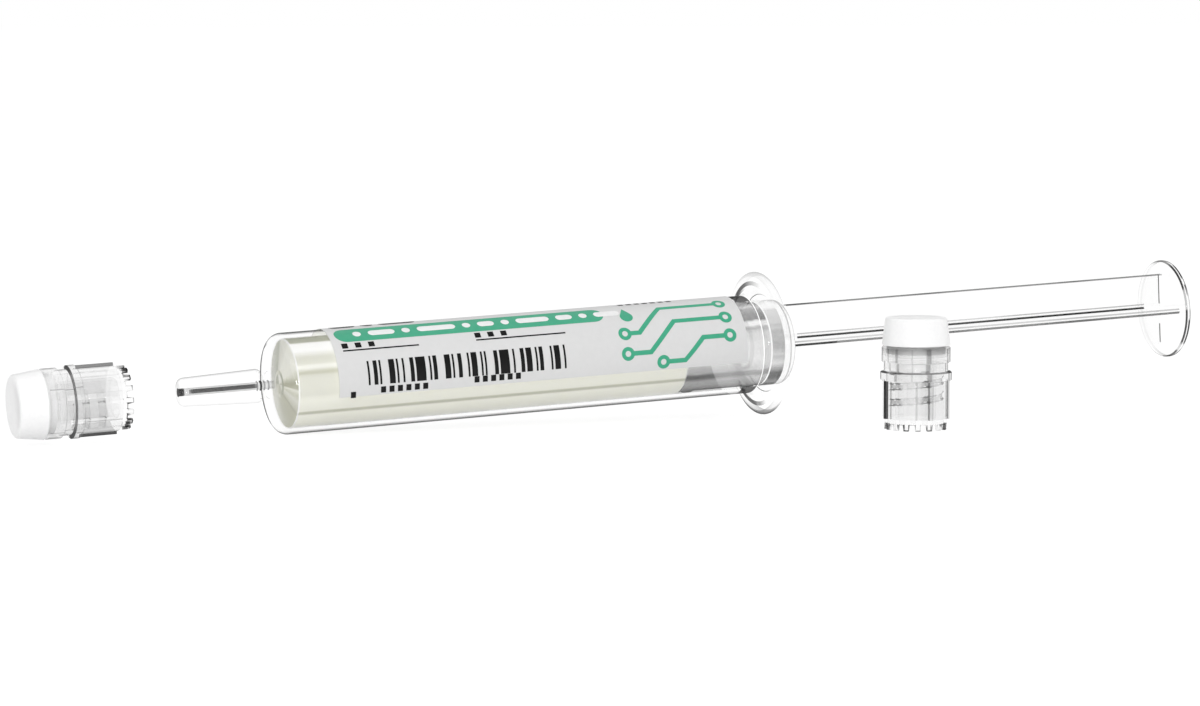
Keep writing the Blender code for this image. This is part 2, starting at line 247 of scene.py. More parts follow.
# clear parts: tint straight on, what passes where the surface turns away, and how it shines; the darkening
# where the surface turns away is a painted outline, standing in for the dark room seen in and through the
# wall; turns, where given, is how strong that painted outline is at each angle round the axis, set to match
# the photo's view
wallLook = {"tint": (0.995, 0.995, 0.995),
            "outline": ((0.67, 1.0), (0.74, 0.76), (0.80, 0.42), (0.88, 0.22), (1.0, 0.12)),
            "shineLeast": 0.03, "shineMost": 0.25, "roughness": 0.02, "roughMost": 0.05, "flowScale": 90.0,
            "bump": 0.02, "haze": 0.01}
boreLook = {**wallLook, "outline": ((0.80, 1.0), (1.0, 0.95)), "shineMost": 0.08}
flatLook = {**wallLook, "outline": ((0.90, 1.0), (1.0, 0.98)), "shineMost": 0.06}
shoulderLook = {**wallLook, "outline": ((0.42, 1.0), (0.52, 0.55), (0.64, 0.16), (1.0, 0.05)),
                "shineMost": 0.12,
                "turns": ((0.0, 0.0), (0.045, 0.0), (0.08, 1.0), (0.42, 1.0), (0.455, 0.0))}
cornerLook = {**wallLook, "outline": ((0.74, 1.0), (0.82, 0.60), (0.90, 0.25), (1.0, 0.10)),
              "shineMost": 0.12}
neckLook = {**wallLook, "outline": ((0.74, 1.0), (0.86, 0.35), (1.0, 0.05)), "shineMost": 0.12}
nozzleLook = {**wallLook, "outline": ((0.50, 1.0), (0.74, 0.80), (1.0, 0.40)), "shineMost": 0.20,
              "turns": ((0.0, 0.35), (0.05, 0.25), (0.30, 0.25), (0.42, 1.0), (0.58, 1.0), (0.70, 0.25),
                        (0.95, 0.25))}
# painted shade: dark blocks at some angles on the barrel between the label's end and the flange's fillet
blockLook = {**wallLook, "outline": ((0.46, 1.0), (0.52, 0.13), (0.90, 0.10), (1.0, 0.08)),
             "shineMost": 0.08,
             "turns": ((0.0, 0.0), (0.38, 0.0), (0.42, 0.5), (0.46, 1.0), (0.562, 1.0), (0.572, 0.0),
                       (0.893, 0.0), (0.903, 1.0), (0.985, 1.0), (0.993, 0.0))}
filletLook = {**wallLook, "outline": ((0.80, 1.0), (1.0, 0.80)), "shineMost": 0.10}
# painted reflections: dark arcs at some angles on the flange's fillet, its faces and its mouth
filletDarkLook = {**flatLook, "outline": ((0.0, 0.07), (1.0, 0.05)),
                  "turns": ((0.055, 0.0), (0.09, 0.9), (0.12, 0.9), (0.16, 0.0), (0.34, 0.0), (0.38, 0.9),
                            (0.41, 0.9), (0.455, 0.0))}
arcLook = {**flatLook, "outline": ((0.0, 0.10), (1.0, 0.06)),
           "turns": ((0.0, 0.85), (0.10, 1.0), (0.13, 0.0), (0.36, 0.0), (0.39, 1.0), (0.45, 0.9),
                     (0.51, 0.35), (0.55, 0.0), (0.94, 0.0), (0.98, 0.7))}
rimLook = {**wallLook, "outline": ((0.25, 1.0), (0.50, 0.66), (0.75, 0.26), (1.0, 0.04)), "shineMost": 0.10,
           "turns": ((0.0, 1.0), (0.07, 0.9), (0.12, 0.05), (0.38, 0.05), (0.44, 0.22), (0.50, 0.30),
                     (0.60, 0.20), (0.68, 0.05), (0.89, 0.0), (0.95, 0.9))}
# a painted highlight: the ring line where the fillet starts is hazed white and glows, though it is no lamp
ringHighlightLook = {**flatLook, "haze": 0.75, "glow": 0.45}
guideRoundLook = {**wallLook, "outline": ((0.55, 1.0), (0.80, 0.85), (1.0, 0.45)), "shineMost": 0.15}
guideEdgeLook = {**flatLook, "outline": ((0.0, 0.62), (1.0, 0.55)),
                 "turns": ((0.47, 0.0), (0.50, 0.5), (0.54, 1.0), (0.92, 1.0), (0.96, 0.3), (0.98, 0.0))}
# the caps' clear plastic; the line, side, tooth, thread and band looks paint dark lines at the collar, on
# the ribs' sides, on the teeth and along the thread and its grooves, standing in for reflections and shade,
# and capShadeLook gives the stations between which the skirt takes painted shade
capWallLook = {**wallLook, "tint": (0.955, 0.955, 0.955),
               "outline": ((0.66, 1.0), (0.80, 0.78), (0.92, 0.32), (1.0, 0.10)),
               "roughness": 0.05, "roughMost": 0.12, "flowScale": 160.0, "bump": 0.05, "haze": 0.02}
capInnerLook = {**capWallLook, "tint": (0.985, 0.985, 0.985), "outline": ((0.80, 1.0), (1.0, 0.90)),
                "shineMost": 0.08, "haze": 0.01}
capLineLook = {**capInnerLook, "outline": ((0.0, 0.10), (1.0, 0.06))}
capSideLook = {**capInnerLook, "outline": ((0.0, 0.07), (1.0, 0.04))}
capToothLook = {"dark": 0.03, "light": 0.88, "scale": 420.0, "tint": (0.98, 0.98, 0.98)}
capThreadLook = {**capInnerLook, "outline": ((0.0, 0.30), (1.0, 0.20))}
capBandLook = {**capInnerLook, "outline": ((0.0, 0.62), (1.0, 0.50))}
capShadeLook = {"low": 14.5, "high": 16.4}
edgeLook = {"dark": 0.10, "light": 0.75, "scale": 70.0}
softEdgeLook = {"dark": 0.80, "light": 0.97, "scale": 70.0}
thumbLook = {**flatLook, "outline": ((0.0, 0.04), (1.0, 0.02)),
             "turns": ((0.02, 0.35), (0.10, 0.08), (0.42, 0.08), (0.46, 0.55), (0.55, 0.75), (0.57, 1.0),
                       (0.67, 1.0), (0.68, 0.5), (0.74, 0.45), (0.745, 1.0),
                       (0.86, 0.95), (0.875, 0.35), (0.90, 0.30), (0.91, 0.9), (0.97, 0.8))}
thumbRimLook = {**flatLook, "outline": ((0.0, 0.06), (1.0, 0.04)),
                "turns": ((0.558, 0.0), (0.568, 1.0), (0.628, 1.0), (0.638, 0.0), (0.655, 0.0),
                          (0.660, 1.0), (0.690, 0.7), (0.700, 0.0), (0.772, 0.0),
                          (0.780, 1.0), (0.865, 1.0), (0.875, 0.0))}
# painted dark lines for the rod's rib rounds, from the darkest to the faintest, standing in for reflections
# of the room
lineLooks = {"rodDark": {"dark": 0.01, "light": 0.05, "scale": 40.0},
             "rodMid": {"dark": 0.12, "light": 0.28, "scale": 40.0},
             "rodHigh": {"dark": 0.28, "light": 0.48, "scale": 40.0},
             "rodFaint": {"dark": 0.46, "light": 0.66, "scale": 40.0}}


def addShine(nodes, links, place, shader, look, facing):
    # gloss that grows towards the outline, uneven in polish
    flow = addNoise(nodes, links, place, look["flowScale"], 2.0)
    polish = addRamp(nodes, links, flow.outputs["Fac"], [(0.3, (look["roughness"],)),
                                                         (0.7, (look["roughMost"],))])
    gloss = nodes.new("ShaderNodeBsdfAnisotropic")
    links.new(polish.outputs["Color"], gloss.inputs["Roughness"])
    addBump(nodes, links, flow.outputs["Fac"], gloss, look["bump"], 0.0002)
    power = addMath(nodes, links, "POWER", facing, 5.0)
    amount = nodes.new("ShaderNodeMapRange")
    amount.inputs["To Min"].default_value = look["shineLeast"]
    amount.inputs["To Max"].default_value = look["shineMost"]
    links.new(power, amount.inputs["Value"])
    return addMix(nodes, links, amount.outputs["Result"], shader, gloss.outputs["BSDF"])


def passLamps(nodes, links, shader):
    # lamps light what stands behind clear plastic as if it weren't there
    path = nodes.new("ShaderNodeLightPath")
    clear = nodes.new("ShaderNodeBsdfTransparent")
    mix = addMix(nodes, links, path.outputs["Is Shadow Ray"], shader, clear.outputs["BSDF"])
    links.new(mix, nodes["Material Output"].inputs["Surface"])


def clearPlastic(name, look, paintedReflections=None, shade=None):
    # clear moulded plastic: thin walls with a painted dark outline where they turn away; bands by angle,
    # where given, multiply in painted reflections, a shade, where given, multiplies in painted shade by
    # height, and a glow, where given, is painted light
    material, nodes, links, shader, place = startMaterial(name, (0.9, 0.9, 0.9), 0.4)
    facing = nodes.new("ShaderNodeLayerWeight").outputs["Facing"]
    tint = Vector(look["tint"])
    stops = [(turned, tuple(tint * value)) for turned, value in look["outline"]]
    colour = addRamp(nodes, links, facing, stops).outputs["Color"]
    if "turns" in look:
        colour = addTurns(nodes, links, place, colour, look)
    if paintedReflections:
        colour = multiply(nodes, links, colour, addAngle(nodes, links, place, paintedReflections).outputs["Color"])
    if shade:
        colour = multiply(nodes, links, colour, addHeight(nodes, links, place, capShadeLook["low"],
                                                          capShadeLook["high"],
                                                          1.0, shade).outputs["Color"])
    shown = addShine(nodes, links, place, addFilm(nodes, links, colour), look, facing)
    if "glow" in look:
        shader.inputs["Emission Color"].default_value = (1.0, 1.0, 1.0, 1.0)
        shader.inputs["Emission Strength"].default_value = look["glow"]
    passLamps(nodes, links, addMix(nodes, links, look["haze"], shown, shader.outputs["BSDF"]))
    return material


def addAngle(nodes, links, place, stops):
    # grey by the angle round the axis
    split = nodes.new("ShaderNodeSeparateXYZ")
    links.new(place.outputs["UV"], split.inputs["Vector"])
    return addRamp(nodes, links, split.outputs["X"], [(turn, (value,)) for turn, value in stops])


def addTurns(nodes, links, place, colour, look):
    # the painted outline only at some angles round the axis
    strength = addAngle(nodes, links, place, look["turns"])
    blend = nodes.new("ShaderNodeMix")
    blend.data_type = "RGBA"
    blend.inputs["A"].default_value = (*look["tint"], 1.0)
    links.new(strength.outputs["Color"], blend.inputs["Factor"])
    links.new(colour, blend.inputs["B"])
    return blend.outputs["Result"]


def addHeight(nodes, links, place, low, high, first, last):
    # grey by the station, from first at the low one to last at the high one
    split = nodes.new("ShaderNodeSeparateXYZ")
    links.new(place.outputs["UV"], split.inputs["Vector"])
    height = nodes.new("ShaderNodeMapRange")
    height.inputs["From Min"].default_value = low * 0.01
    height.inputs["From Max"].default_value = high * 0.01
    links.new(split.outputs["Y"], height.inputs["Value"])
    return addRamp(nodes, links, height.outputs["Result"], [(0.0, (first,)), (1.0, (last,))])


def multiply(nodes, links, first, second):
    blend = nodes.new("ShaderNodeMix")
    blend.data_type = "RGBA"
    blend.blend_type = "MULTIPLY"
    blend.inputs["Factor"].default_value = 1.0
    links.new(first, blend.inputs["A"])
    links.new(second, blend.inputs["B"])
    return blend.outputs["Result"]


def edgePlastic(name, look):
    # the tight rounds of clear parts: painted dark reflections of the room, in lines broken by noise
    material, nodes, links, shader, place = startMaterial(name, (0.9, 0.9, 0.9), 0.4)
    broken = addNoise(nodes, links, place, look["scale"], 1.0)
    line = addRamp(nodes, links, broken.outputs["Fac"], [(0.42, (look["dark"],)), (0.60, (look["light"],))])
    colour = line.outputs["Color"]
    if "turns" in look:
        colour = addTurns(nodes, links, place, colour, look)
    facing = nodes.new("ShaderNodeLayerWeight").outputs["Facing"]
    passLamps(nodes, links, addShine(nodes, links, place, addFilm(nodes, links, colour), wallLook, facing))
    return material


def channelPlastic(name, core, band):
    # the nozzle's channel: a painted dark core, standing in for the shade down the channel, in a pale band
    material, nodes, links, shader, place = startMaterial(name, (0.9, 0.9, 0.9), 0.4)
    facing = nodes.new("ShaderNodeLayerWeight").outputs["Facing"]
    ramp = addRamp(nodes, links, facing, [(0.0, (core + 0.06,)), (0.03, (core,)), (0.15, (core,)),
                                                            (0.23, (band,)), (0.75, (band,)),
                                                            (1.0, (0.55,))])
    film = addFilm(nodes, links, ramp.outputs["Color"])
    passLamps(nodes, links, addShine(nodes, links, place, film, wallLook, facing))
    return material


# the gel's colours: pale is its own cream; the brightest is a painted highlight; olive, shade, mist and
# line are painted reflections and shade; light, near, low and rim are painted light
gelLook = {"pale": (0.765, 0.765, 0.675), "highlight": (0.98, 0.98, 0.955), "olive": (0.415, 0.425, 0.315),
           "light": (0.90, 0.90, 0.83), "line": (0.62, 0.62, 0.50), "low": (0.95, 0.95, 0.845),
           "rim": (0.84, 0.84, 0.74),
           "near": (0.89, 0.89, 0.795), "shade": (0.50, 0.50, 0.365), "mist": (0.67, 0.67, 0.54),
           "roughness": 0.3, "glow": 0.1}
# painted bands of highlight, light, reflection and shade round the charge: angle in turns (0 is its
# underside, 0.5 its top), and the colour there
gelTurns = ((0.00, "rim"), (0.10, "low"), (0.30, "pale"), (0.44, "olive"), (0.560, "olive"),
            (0.572, "highlight"), (0.612, "highlight"),
            (0.643, "pale"), (0.668, "pale"), (0.675, "light"), (0.684, "light"), (0.698, "line"),
            (0.704, "line"), (0.712, "pale"), (0.780, "pale"), (0.800, "near"), (0.845, "near"),
            (0.849, "line"), (0.858, "line"), (0.862, "low"), (0.960, "low"), (0.985, "rim"))
gelFrontTurns = ((0.00, "shade"), (0.10, "mist"), (0.20, "mist"), (0.27, "olive"), (0.455, "olive"),
                 (0.485, "pale"), (0.54, "near"),
                 (0.68, "near"), (0.715, "mist"), (0.735, "shade"), (0.757, "shade"), (0.765, "near"),
                 (0.785, "mist"), (0.81, "pale"), (0.87, "shade"), (0.96, "shade"), (1.0, "shade"))


def gelMaterial(name, turns):
    # cream gel, cloudy along its length, with painted bands round it of highlight, light, reflection and
    # shade
    material, nodes, links, shader, place = startMaterial(name, gelLook["pale"], gelLook["roughness"])
    split = nodes.new("ShaderNodeSeparateXYZ")
    links.new(place.outputs["UV"], split.inputs["Vector"])
    stretch = nodes.new("ShaderNodeMapping")
    stretch.inputs["Scale"].default_value = (14.0, 1.2, 1.0)   # round the charge, along it
    links.new(place.outputs["UV"], stretch.inputs["Vector"])
    cloud = nodes.new("ShaderNodeTexNoise")
    cloud.inputs["Scale"].default_value = 1.6
    cloud.inputs["Detail"].default_value = 3.0
    links.new(stretch.outputs["Vector"], cloud.inputs["Vector"])
    bands = addRamp(nodes, links, split.outputs["X"], [(turn, gelLook[key]) for turn, key in turns])
    body = addRamp(nodes, links, cloud.outputs["Fac"], [(0.35, (1.0,)), (0.75, (0.955,))])
    colour = multiply(nodes, links, bands.outputs["Color"], body.outputs["Color"])
    links.new(colour, shader.inputs["Base Color"])
    shader.inputs["Subsurface Weight"].default_value = gelLook["glow"]
    shader.inputs["Subsurface Radius"].default_value = (1.0, 1.0, 0.6)
    shader.inputs["Subsurface Scale"].default_value = 0.0015
    shader.inputs["Coat Weight"].default_value = 0.3
    shader.inputs["Coat Roughness"].default_value = 0.08
    addBump(nodes, links, cloud.outputs["Fac"], shader, 0.08, 0.0004)
    return material


# backGlow is painted light, standing in for what comes through the film, and the back's angle table is
# painted shade
filmLook = {"grey": (0.69, 0.69, 0.69), "greyLow": (0.67, 0.67, 0.67), "roughness": 0.45, "grain": 900.0,
            "backRoughness": 0.5, "backGlow": 0.75,
            "backPaintedShade": ((0.0, 0.45), (0.06, 0.45), (0.092, 0.52), (0.104, 0.56), (0.113, 0.40),
                          (0.120, 0.26), (0.126, 0.14),
                          (0.136, 0.13), (0.141, 0.44), (0.158, 0.52), (0.172, 0.60), (0.20, 0.74),
                          (0.5, 0.72))}


def filmMaterial(name, high, low):
    # label film: smooth, with the faint grain of the paper face
    material, nodes, links, shader, place = startMaterial(name, high, filmLook["roughness"])
    grain = addNoise(nodes, links, place, filmLook["grain"], 4.0)
    face = addRamp(nodes, links, grain.outputs["Fac"], [(0.25, low), (0.7, high)])
    links.new(face.outputs["Color"], shader.inputs["Base Color"])
    addBump(nodes, links, grain.outputs["Fac"], shader, 0.05, 0.00005)
    return material


def filmBackMaterial():
    # the film from inside: pale, with painted shade by angle that darkens towards its underside with a
    # painted dark line near there, and an emission as painted light for what comes through the film
    material, nodes, links, shader, place = startMaterial("labelBack", (0.8, 0.8, 0.8),
                                                          filmLook["backRoughness"])
    shade = addAngle(nodes, links, place, filmLook["backPaintedShade"])
    links.new(shade.outputs["Color"], shader.inputs["Base Color"])
    links.new(shade.outputs["Color"], shader.inputs["Emission Color"])
    shader.inputs["Emission Strength"].default_value = filmLook["backGlow"]
    shader.inputs["Specular IOR Level"].default_value = 0.2
    return material


def printMaterial(name, colour, lighter):
    # printed ink, a little uneven where the film's grain shows through
    material, nodes, links, shader, place = startMaterial(name, colour, 0.34)
    shader.inputs["Specular IOR Level"].default_value = 0.18
    grain = addNoise(nodes, links, place, filmLook["grain"], 3.0)
    ink = addRamp(nodes, links, grain.outputs["Fac"], [(0.3, colour), (0.75, lighter)])
    links.new(ink.outputs["Color"], shader.inputs["Base Color"])
    return material


whiteLook = {"white": (0.96, 0.96, 0.96), "shade": (0.93, 0.93, 0.935), "roughness": 0.28,
             "spigotFrom": 15.0, "spigotTo": 16.7}


def whiteMaterial():
    # white closure: fine moulded satin
    material, nodes, links, shader, place = startMaterial("closurePlastic", whiteLook["white"],
                                                          whiteLook["roughness"])
    speck = addNoise(nodes, links, place, 1400.0, 2.0)
    face = addRamp(nodes, links, speck.outputs["Fac"], [(0.3, whiteLook["shade"]),
                                                        (0.6, whiteLook["white"])])
    links.new(face.outputs["Color"], shader.inputs["Base Color"])
    shader.inputs["Subsurface Weight"].default_value = 0.2
    shader.inputs["Subsurface Radius"].default_value = (1.0, 1.0, 1.0)
    shader.inputs["Subsurface Scale"].default_value = 0.001
    addBump(nodes, links, speck.outputs["Fac"], shader, 0.04, 0.00005)
    return material


def spigotMaterial(name, first, last):
    # the part of the closure that sits down in the sleeve: its colour is painted shade, grey from first at
    # its foot to last at its top
    material, nodes, links, shader, place = startMaterial(name, whiteLook["shade"], 0.4)
    shade = addHeight(nodes, links, place, whiteLook["spigotFrom"], whiteLook["spigotTo"], first, last)
    links.new(shade.outputs["Color"], shader.inputs["Base Color"])
    return material


# painted reflections and shade in lengthwise bands, set to match the photo's view: angle round the axis in
# turns (0.5 is the top, 0.75 the near side), and what passes there
borePaintedReflections = ((0.0, 0.97), (0.25, 1.0), (0.46, 0.97), (0.56, 0.95), (0.575, 1.0), (0.845, 1.0),
               (0.850, 0.90), (0.858, 0.90), (0.862, 1.0), (1.0, 0.98))
pistonPaintedReflections = ((0.0, 0.40), (0.03, 0.85), (0.25, 0.97), (0.46, 0.90), (0.505, 0.50), (0.540, 0.48),
                 (0.566, 0.73), (0.578, 0.50),
                 (0.589, 0.42), (0.606, 0.33), (0.637, 0.34), (0.643, 0.86), (0.650, 1.0), (0.660, 0.94),
                 (0.668, 0.58), (0.675, 0.46), (0.682, 0.66), (0.695, 0.78), (0.790, 0.80), (0.812, 0.76),
                 (0.835, 0.66), (0.843, 0.42),
                 (0.855, 0.38), (0.866, 0.53), (0.880, 0.60), (0.891, 0.52), (0.906, 0.46), (0.925, 0.38),
                 (0.954, 0.22), (0.975, 0.20))
guidePaintedReflections = ((0.0, 0.40), (0.03, 1.0), (0.48, 1.0), (0.515, 0.98), (0.579, 0.98), (0.599, 0.70),
                (0.657, 0.68), (0.668, 0.55),
                (0.680, 0.60), (0.696, 0.48), (0.710, 0.54), (0.735, 0.44), (0.755, 0.46), (0.779, 0.62),
                (0.790, 0.52), (0.815, 0.70), (0.829, 0.50), (0.849, 0.26), (0.860, 0.13), (0.885, 0.11),
                (0.905, 0.20), (0.920, 0.28), (0.935, 0.13), (0.960, 0.13), (0.985, 0.30))
wallClear = clearPlastic("barrelWall", wallLook)
boreClear = clearPlastic("barrelBore", boreLook, borePaintedReflections)
shoulderClear = clearPlastic("barrelShoulder", shoulderLook)
cornerClear = clearPlastic("barrelCorner", cornerLook)
nozzleClear = clearPlastic("nozzleWall", nozzleLook)
blockClear = clearPlastic("barrelBlock", blockLook)
neckClear = clearPlastic("barrelNeck", neckLook)
filletClear = clearPlastic("flangeFillet", filletLook)
filletDark = clearPlastic("flangeFilletDark", filletDarkLook)
arcDark = clearPlastic("flangeArc", arcLook)
rimClear = clearPlastic("flangeRim", rimLook)
ringHighlight = clearPlastic("flangeRingHighlight", ringHighlightLook)
guideClear = clearPlastic("guideWall", boreLook, guidePaintedReflections)
guideRound = clearPlastic("guideRound", guideRoundLook)
guideEdge = clearPlastic("guideEdge", guideEdgeLook)
flatClear = clearPlastic("rodFlat", flatLook)
pistonClear = clearPlastic("pistonWall", boreLook, pistonPaintedReflections)
pistonRear = clearPlastic("pistonRear", {**boreLook, "tint": (0.84, 0.84, 0.84)}, pistonPaintedReflections)
capInner = clearPlastic("capInner", capInnerLook)
# each cap's painted reflections and shade, set to match the photo's view: skin above the collar, between
# the ribs (low) and on them (rib), and how strong the collar's line, the ribs' sides, the teeth and the
# thread are round it; tint, shade and the spigot's greys make each cap a lighter or darker copy of the same
# plastic, which is painted light
capPaintedShading = {
    "standing": {
        "skin": ((0.0, 1.0), (0.44, 1.0), (0.519, 0.95), (0.523, 0.62), (0.529, 0.62), (0.533, 0.98),
                 (0.570, 0.90), (0.575, 0.50),
                 (0.585, 0.50), (0.590, 0.90), (0.652, 1.0), (0.656, 0.80), (0.659, 0.80), (0.663, 1.0),
                 (0.722, 1.0), (0.728, 0.52), (0.746, 0.46), (0.752, 0.90), (0.850, 0.96), (0.858, 0.45),
                 (0.865, 0.45), (0.872, 0.98)),
        "low": ((0.0, 1.0), (0.44, 1.0), (0.527, 0.95), (0.531, 0.45), (0.538, 0.45), (0.542, 0.93),
                (0.673, 1.0), (0.677, 0.70),
                (0.682, 0.70), (0.686, 1.0), (0.735, 0.85), (0.752, 0.30), (0.759, 0.30), (0.763, 0.92),
                (0.84, 0.92), (0.86, 0.85), (0.90, 0.90)),
        "rib": ((0.0, 1.0), (0.44, 1.0), (0.47, 0.04), (0.520, 0.04), (0.540, 1.0), (0.735, 1.0),
                (0.745, 0.80), (0.765, 0.80), (0.78, 1.0)),
        "line": ((0.43, 0.0), (0.44, 1.0), (0.515, 1.0), (0.54, 0.72), (0.84, 0.72), (0.865, 1.0),
                 (0.935, 1.0), (0.945, 0.0)),
        "side": ((0.45, 0.0), (0.455, 1.0), (0.515, 1.0), (0.52, 0.06), (0.70, 0.08), (0.73, 0.70),
                 (0.745, 0.70), (0.755, 0.08),
                 (0.858, 0.10), (0.861, 0.42), (0.869, 0.42), (0.875, 0.15), (0.93, 0.30), (0.94, 0.0)),
        "tooth": ((0.40, 0.0), (0.44, 0.6), (0.50, 0.9), (0.88, 0.9), (0.935, 0.6), (0.975, 0.0)),
        "thread": ((0.0, 0.0), (0.46, 0.0), (0.48, 1.0), (0.565, 1.0), (0.60, 0.25), (0.70, 0.25),
                   (0.725, 1.0), (0.755, 1.0),
                   (0.785, 0.30), (0.86, 0.35), (0.89, 0.85), (0.93, 0.85), (0.95, 0.0)),
        "tint": 1.0, "shade": 0.72, "spigot": 0.42, "spigotLow": 0.78},
    "lying": {
        "skin": ((0.0, 1.0), (0.53, 0.80), (0.6045, 0.90), (0.6065, 0.55), (0.609, 0.55), (0.612, 0.96),
                 (0.8245, 0.98), (0.827, 0.50), (0.8295, 0.50), (0.832, 1.0)),
        "low": ((0.0, 1.0), (0.53, 0.62), (0.56, 0.90), (0.652, 0.96), (0.6545, 0.42), (0.6575, 0.42),
                (0.660, 0.95), (0.748, 0.96),
                (0.752, 0.74), (0.756, 0.74), (0.760, 0.96), (0.797, 0.96), (0.800, 0.82), (0.803, 0.96),
                (0.877, 1.0), (0.8795, 0.38), (0.8825, 0.38), (0.885, 1.0)),
        "rib": ((0.0, 1.0), (0.003, 1.0), (0.005, 0.04), (0.014, 0.04), (0.02, 1.0), (0.485, 1.0),
                (0.489, 0.04), (0.515, 0.04),
                (0.519, 1.0), (0.98, 1.0), (0.986, 0.04), (0.995, 0.04), (0.997, 1.0)),
        "line": ((0.0, 1.0), (0.014, 1.0), (0.024, 0.0), (0.505, 0.0), (0.515, 1.0), (0.60, 1.0),
                 (0.65, 0.80), (0.89, 0.80), (0.94, 1.0), (1.0, 1.0)),
        "side": ((0.0, 0.3), (0.02, 0.0), (0.49, 0.0), (0.50, 1.0), (0.52, 1.0), (0.53, 0.05),
                 (0.975, 0.05), (0.984, 0.75), (0.995, 0.75)),
        "tooth": ((0.0, 1.0), (0.03, 0.0), (0.49, 0.0), (0.52, 1.0), (1.0, 1.0)),
        "thread": ((0.0, 0.0), (0.51, 0.0), (0.53, 0.35), (0.62, 0.30), (0.649, 0.25), (0.652, 0.9),
                   (0.658, 0.9), (0.662, 0.18),
                   (0.747, 0.16), (0.750, 0.9), (0.756, 0.9), (0.760, 0.16), (0.798, 0.14), (0.800, 0.5),
                   (0.803, 0.12), (0.88, 0.05), (1.0, 0.0)),
        "tint": 1.025, "shade": 0.97, "spigot": 0.86, "spigotLow": 0.92}}


def capMaterials(name):
    # the looks of one cap, by slot, with its own painted reflections and shade
    marks = capPaintedShading[name]

    def named(part):
        return "cap" + part + name.capitalize()

    # the wall is scaled by the cap's tint, painted lighter for the lying cap, and the skirt adds painted
    # shade by height
    wall = {**capWallLook, "tint": tuple(value * marks["tint"] for value in capWallLook["tint"])}
    made = {"skin": clearPlastic(named("Skin"), wall, marks["skin"]),
            "skirt": clearPlastic(named("Skirt"), wall, marks["skin"], marks["shade"]),
            "low": clearPlastic(named("Low"), wall, marks["low"]),
            "rib": clearPlastic(named("Rib"), wall, marks["rib"]), "inner": capInner, "soft": edgeSoft,
            "line": clearPlastic(named("Line"), {**capLineLook, "turns": marks["line"]}),
            "side": clearPlastic(named("Side"), {**capSideLook, "turns": marks["side"]}),
            "tooth": edgePlastic(named("Tooth"), {**capToothLook, "turns": marks["tooth"]}),
            "thread": clearPlastic(named("Thread"), {**capThreadLook, "turns": marks["thread"]}),
            "band": clearPlastic(named("Band"), {**capBandLook, "turns": marks["thread"]})}
    return made, spigotMaterial(named("Spigot"), marks["spigotLow"], marks["spigot"])


edgeDark = edgePlastic("edgeDark", edgeLook)
edgeSoft = edgePlastic("edgeSoft", softEdgeLook)
capLooks = {name: capMaterials(name) for name in capPaintedShading}
thumbRound = clearPlastic("thumbRound", thumbLook)
thumbRim = clearPlastic("thumbRim", thumbRimLook)
lineDark, lineMid, lineHigh, lineFaint = (edgePlastic(name, look) for name, look in lineLooks.items())
channelCore = channelPlastic("channelCore", 0.28, 0.80)
# painted dark lines at some angles on the small rings down the channel, standing in for their reflections
markTurns = ((0.46, 0.0), (0.52, 1.0), (0.93, 1.0), (0.97, 0.0))
markDark = clearPlastic("channelMark", {**flatLook, "outline": ((0.0, 0.05), (1.0, 0.03)),
                                        "turns": markTurns})
markSoft = clearPlastic("channelMarkSoft", {**flatLook, "outline": ((0.0, 0.45), (1.0, 0.40)),
                                            "turns": markTurns})
channelBand = channelPlastic("channelBand", 0.85, 0.80)
gelCream = gelMaterial("fluxGel", gelTurns)
gelFront = gelMaterial("fluxGelFront", gelFrontTurns)
# the rim of the charge takes a painted highlight, and the nub a painted olive shade
gelRim = gelMaterial("fluxGelRim", ((0.0, "pale"), (0.3, "pale"), (0.5, "highlight"), (0.9, "highlight"),
                                    (1.0, "pale")))
gelNub = gelMaterial("fluxGelNub", ((0.0, "mist"), (0.3, "pale"), (0.5, "mist"), (0.6, "olive"),
                                    (0.9, "olive"), (1.0, "mist")))
filmGrey = filmMaterial("labelFilm", filmLook["grey"], filmLook["greyLow"])
filmBack = filmBackMaterial()
inkGreen = printMaterial("inkGreen", (0.055, 0.375, 0.225), (0.065, 0.395, 0.240))
inkBlack = printMaterial("inkBlack", (0.004, 0.004, 0.004), (0.008, 0.008, 0.008))
inkWhite = printMaterial("inkWhite", (0.80, 0.80, 0.80), (0.86, 0.86, 0.86))
whitePlastic = whiteMaterial()
print("materials made")


def settle(piece, body, slotName, *nodes):
    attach(piece, body)
    if nodes:
        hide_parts(*nodes)
    return piece


# barrel
barrel = {"radius": 10.0, "bore": 8.95, "length": 103.1, "shoulderRound": 2.4, "frontRise": 0.7,
          "flangeRadius": 14.675, "flangeThick": 1.8, "flangeFillet": 2.3, "mouthChamfer": 0.35,
          "neckRadius": 2.55, "neckLength": 1.9, "nozzleLength": 16.6, "nozzleBase": 3.36,
          "nozzleTip": 2.82,
          "baseRound": 0.75, "tipRound": 1.15, "channel": 0.75, "frontWall": 1.9, "throat": 2.4,
          "throatDepth": 0.9, "coneDepth": 1.2, "mouthBand": 1.1, "coreFrom": 2.5, "ringWide": 0.20,
          "arcHalf": 0.1, "faceArc": 0.5, "tipEdge": 0.12, "steps": 192,
          "channelMarks": ((-5.75, -5.60, "markSoft"), (-5.15, -4.80, "mark"), (-4.35, -4.15, "markSoft"),
                           (-3.50, -3.30, "markSoft")), "markHigh": 0.25}
frontStation = -barrel["shoulderRound"] - barrel["frontRise"]
throatStation = frontStation + barrel["frontWall"]
tipStation = frontStation - barrel["neckLength"] - barrel["nozzleLength"]


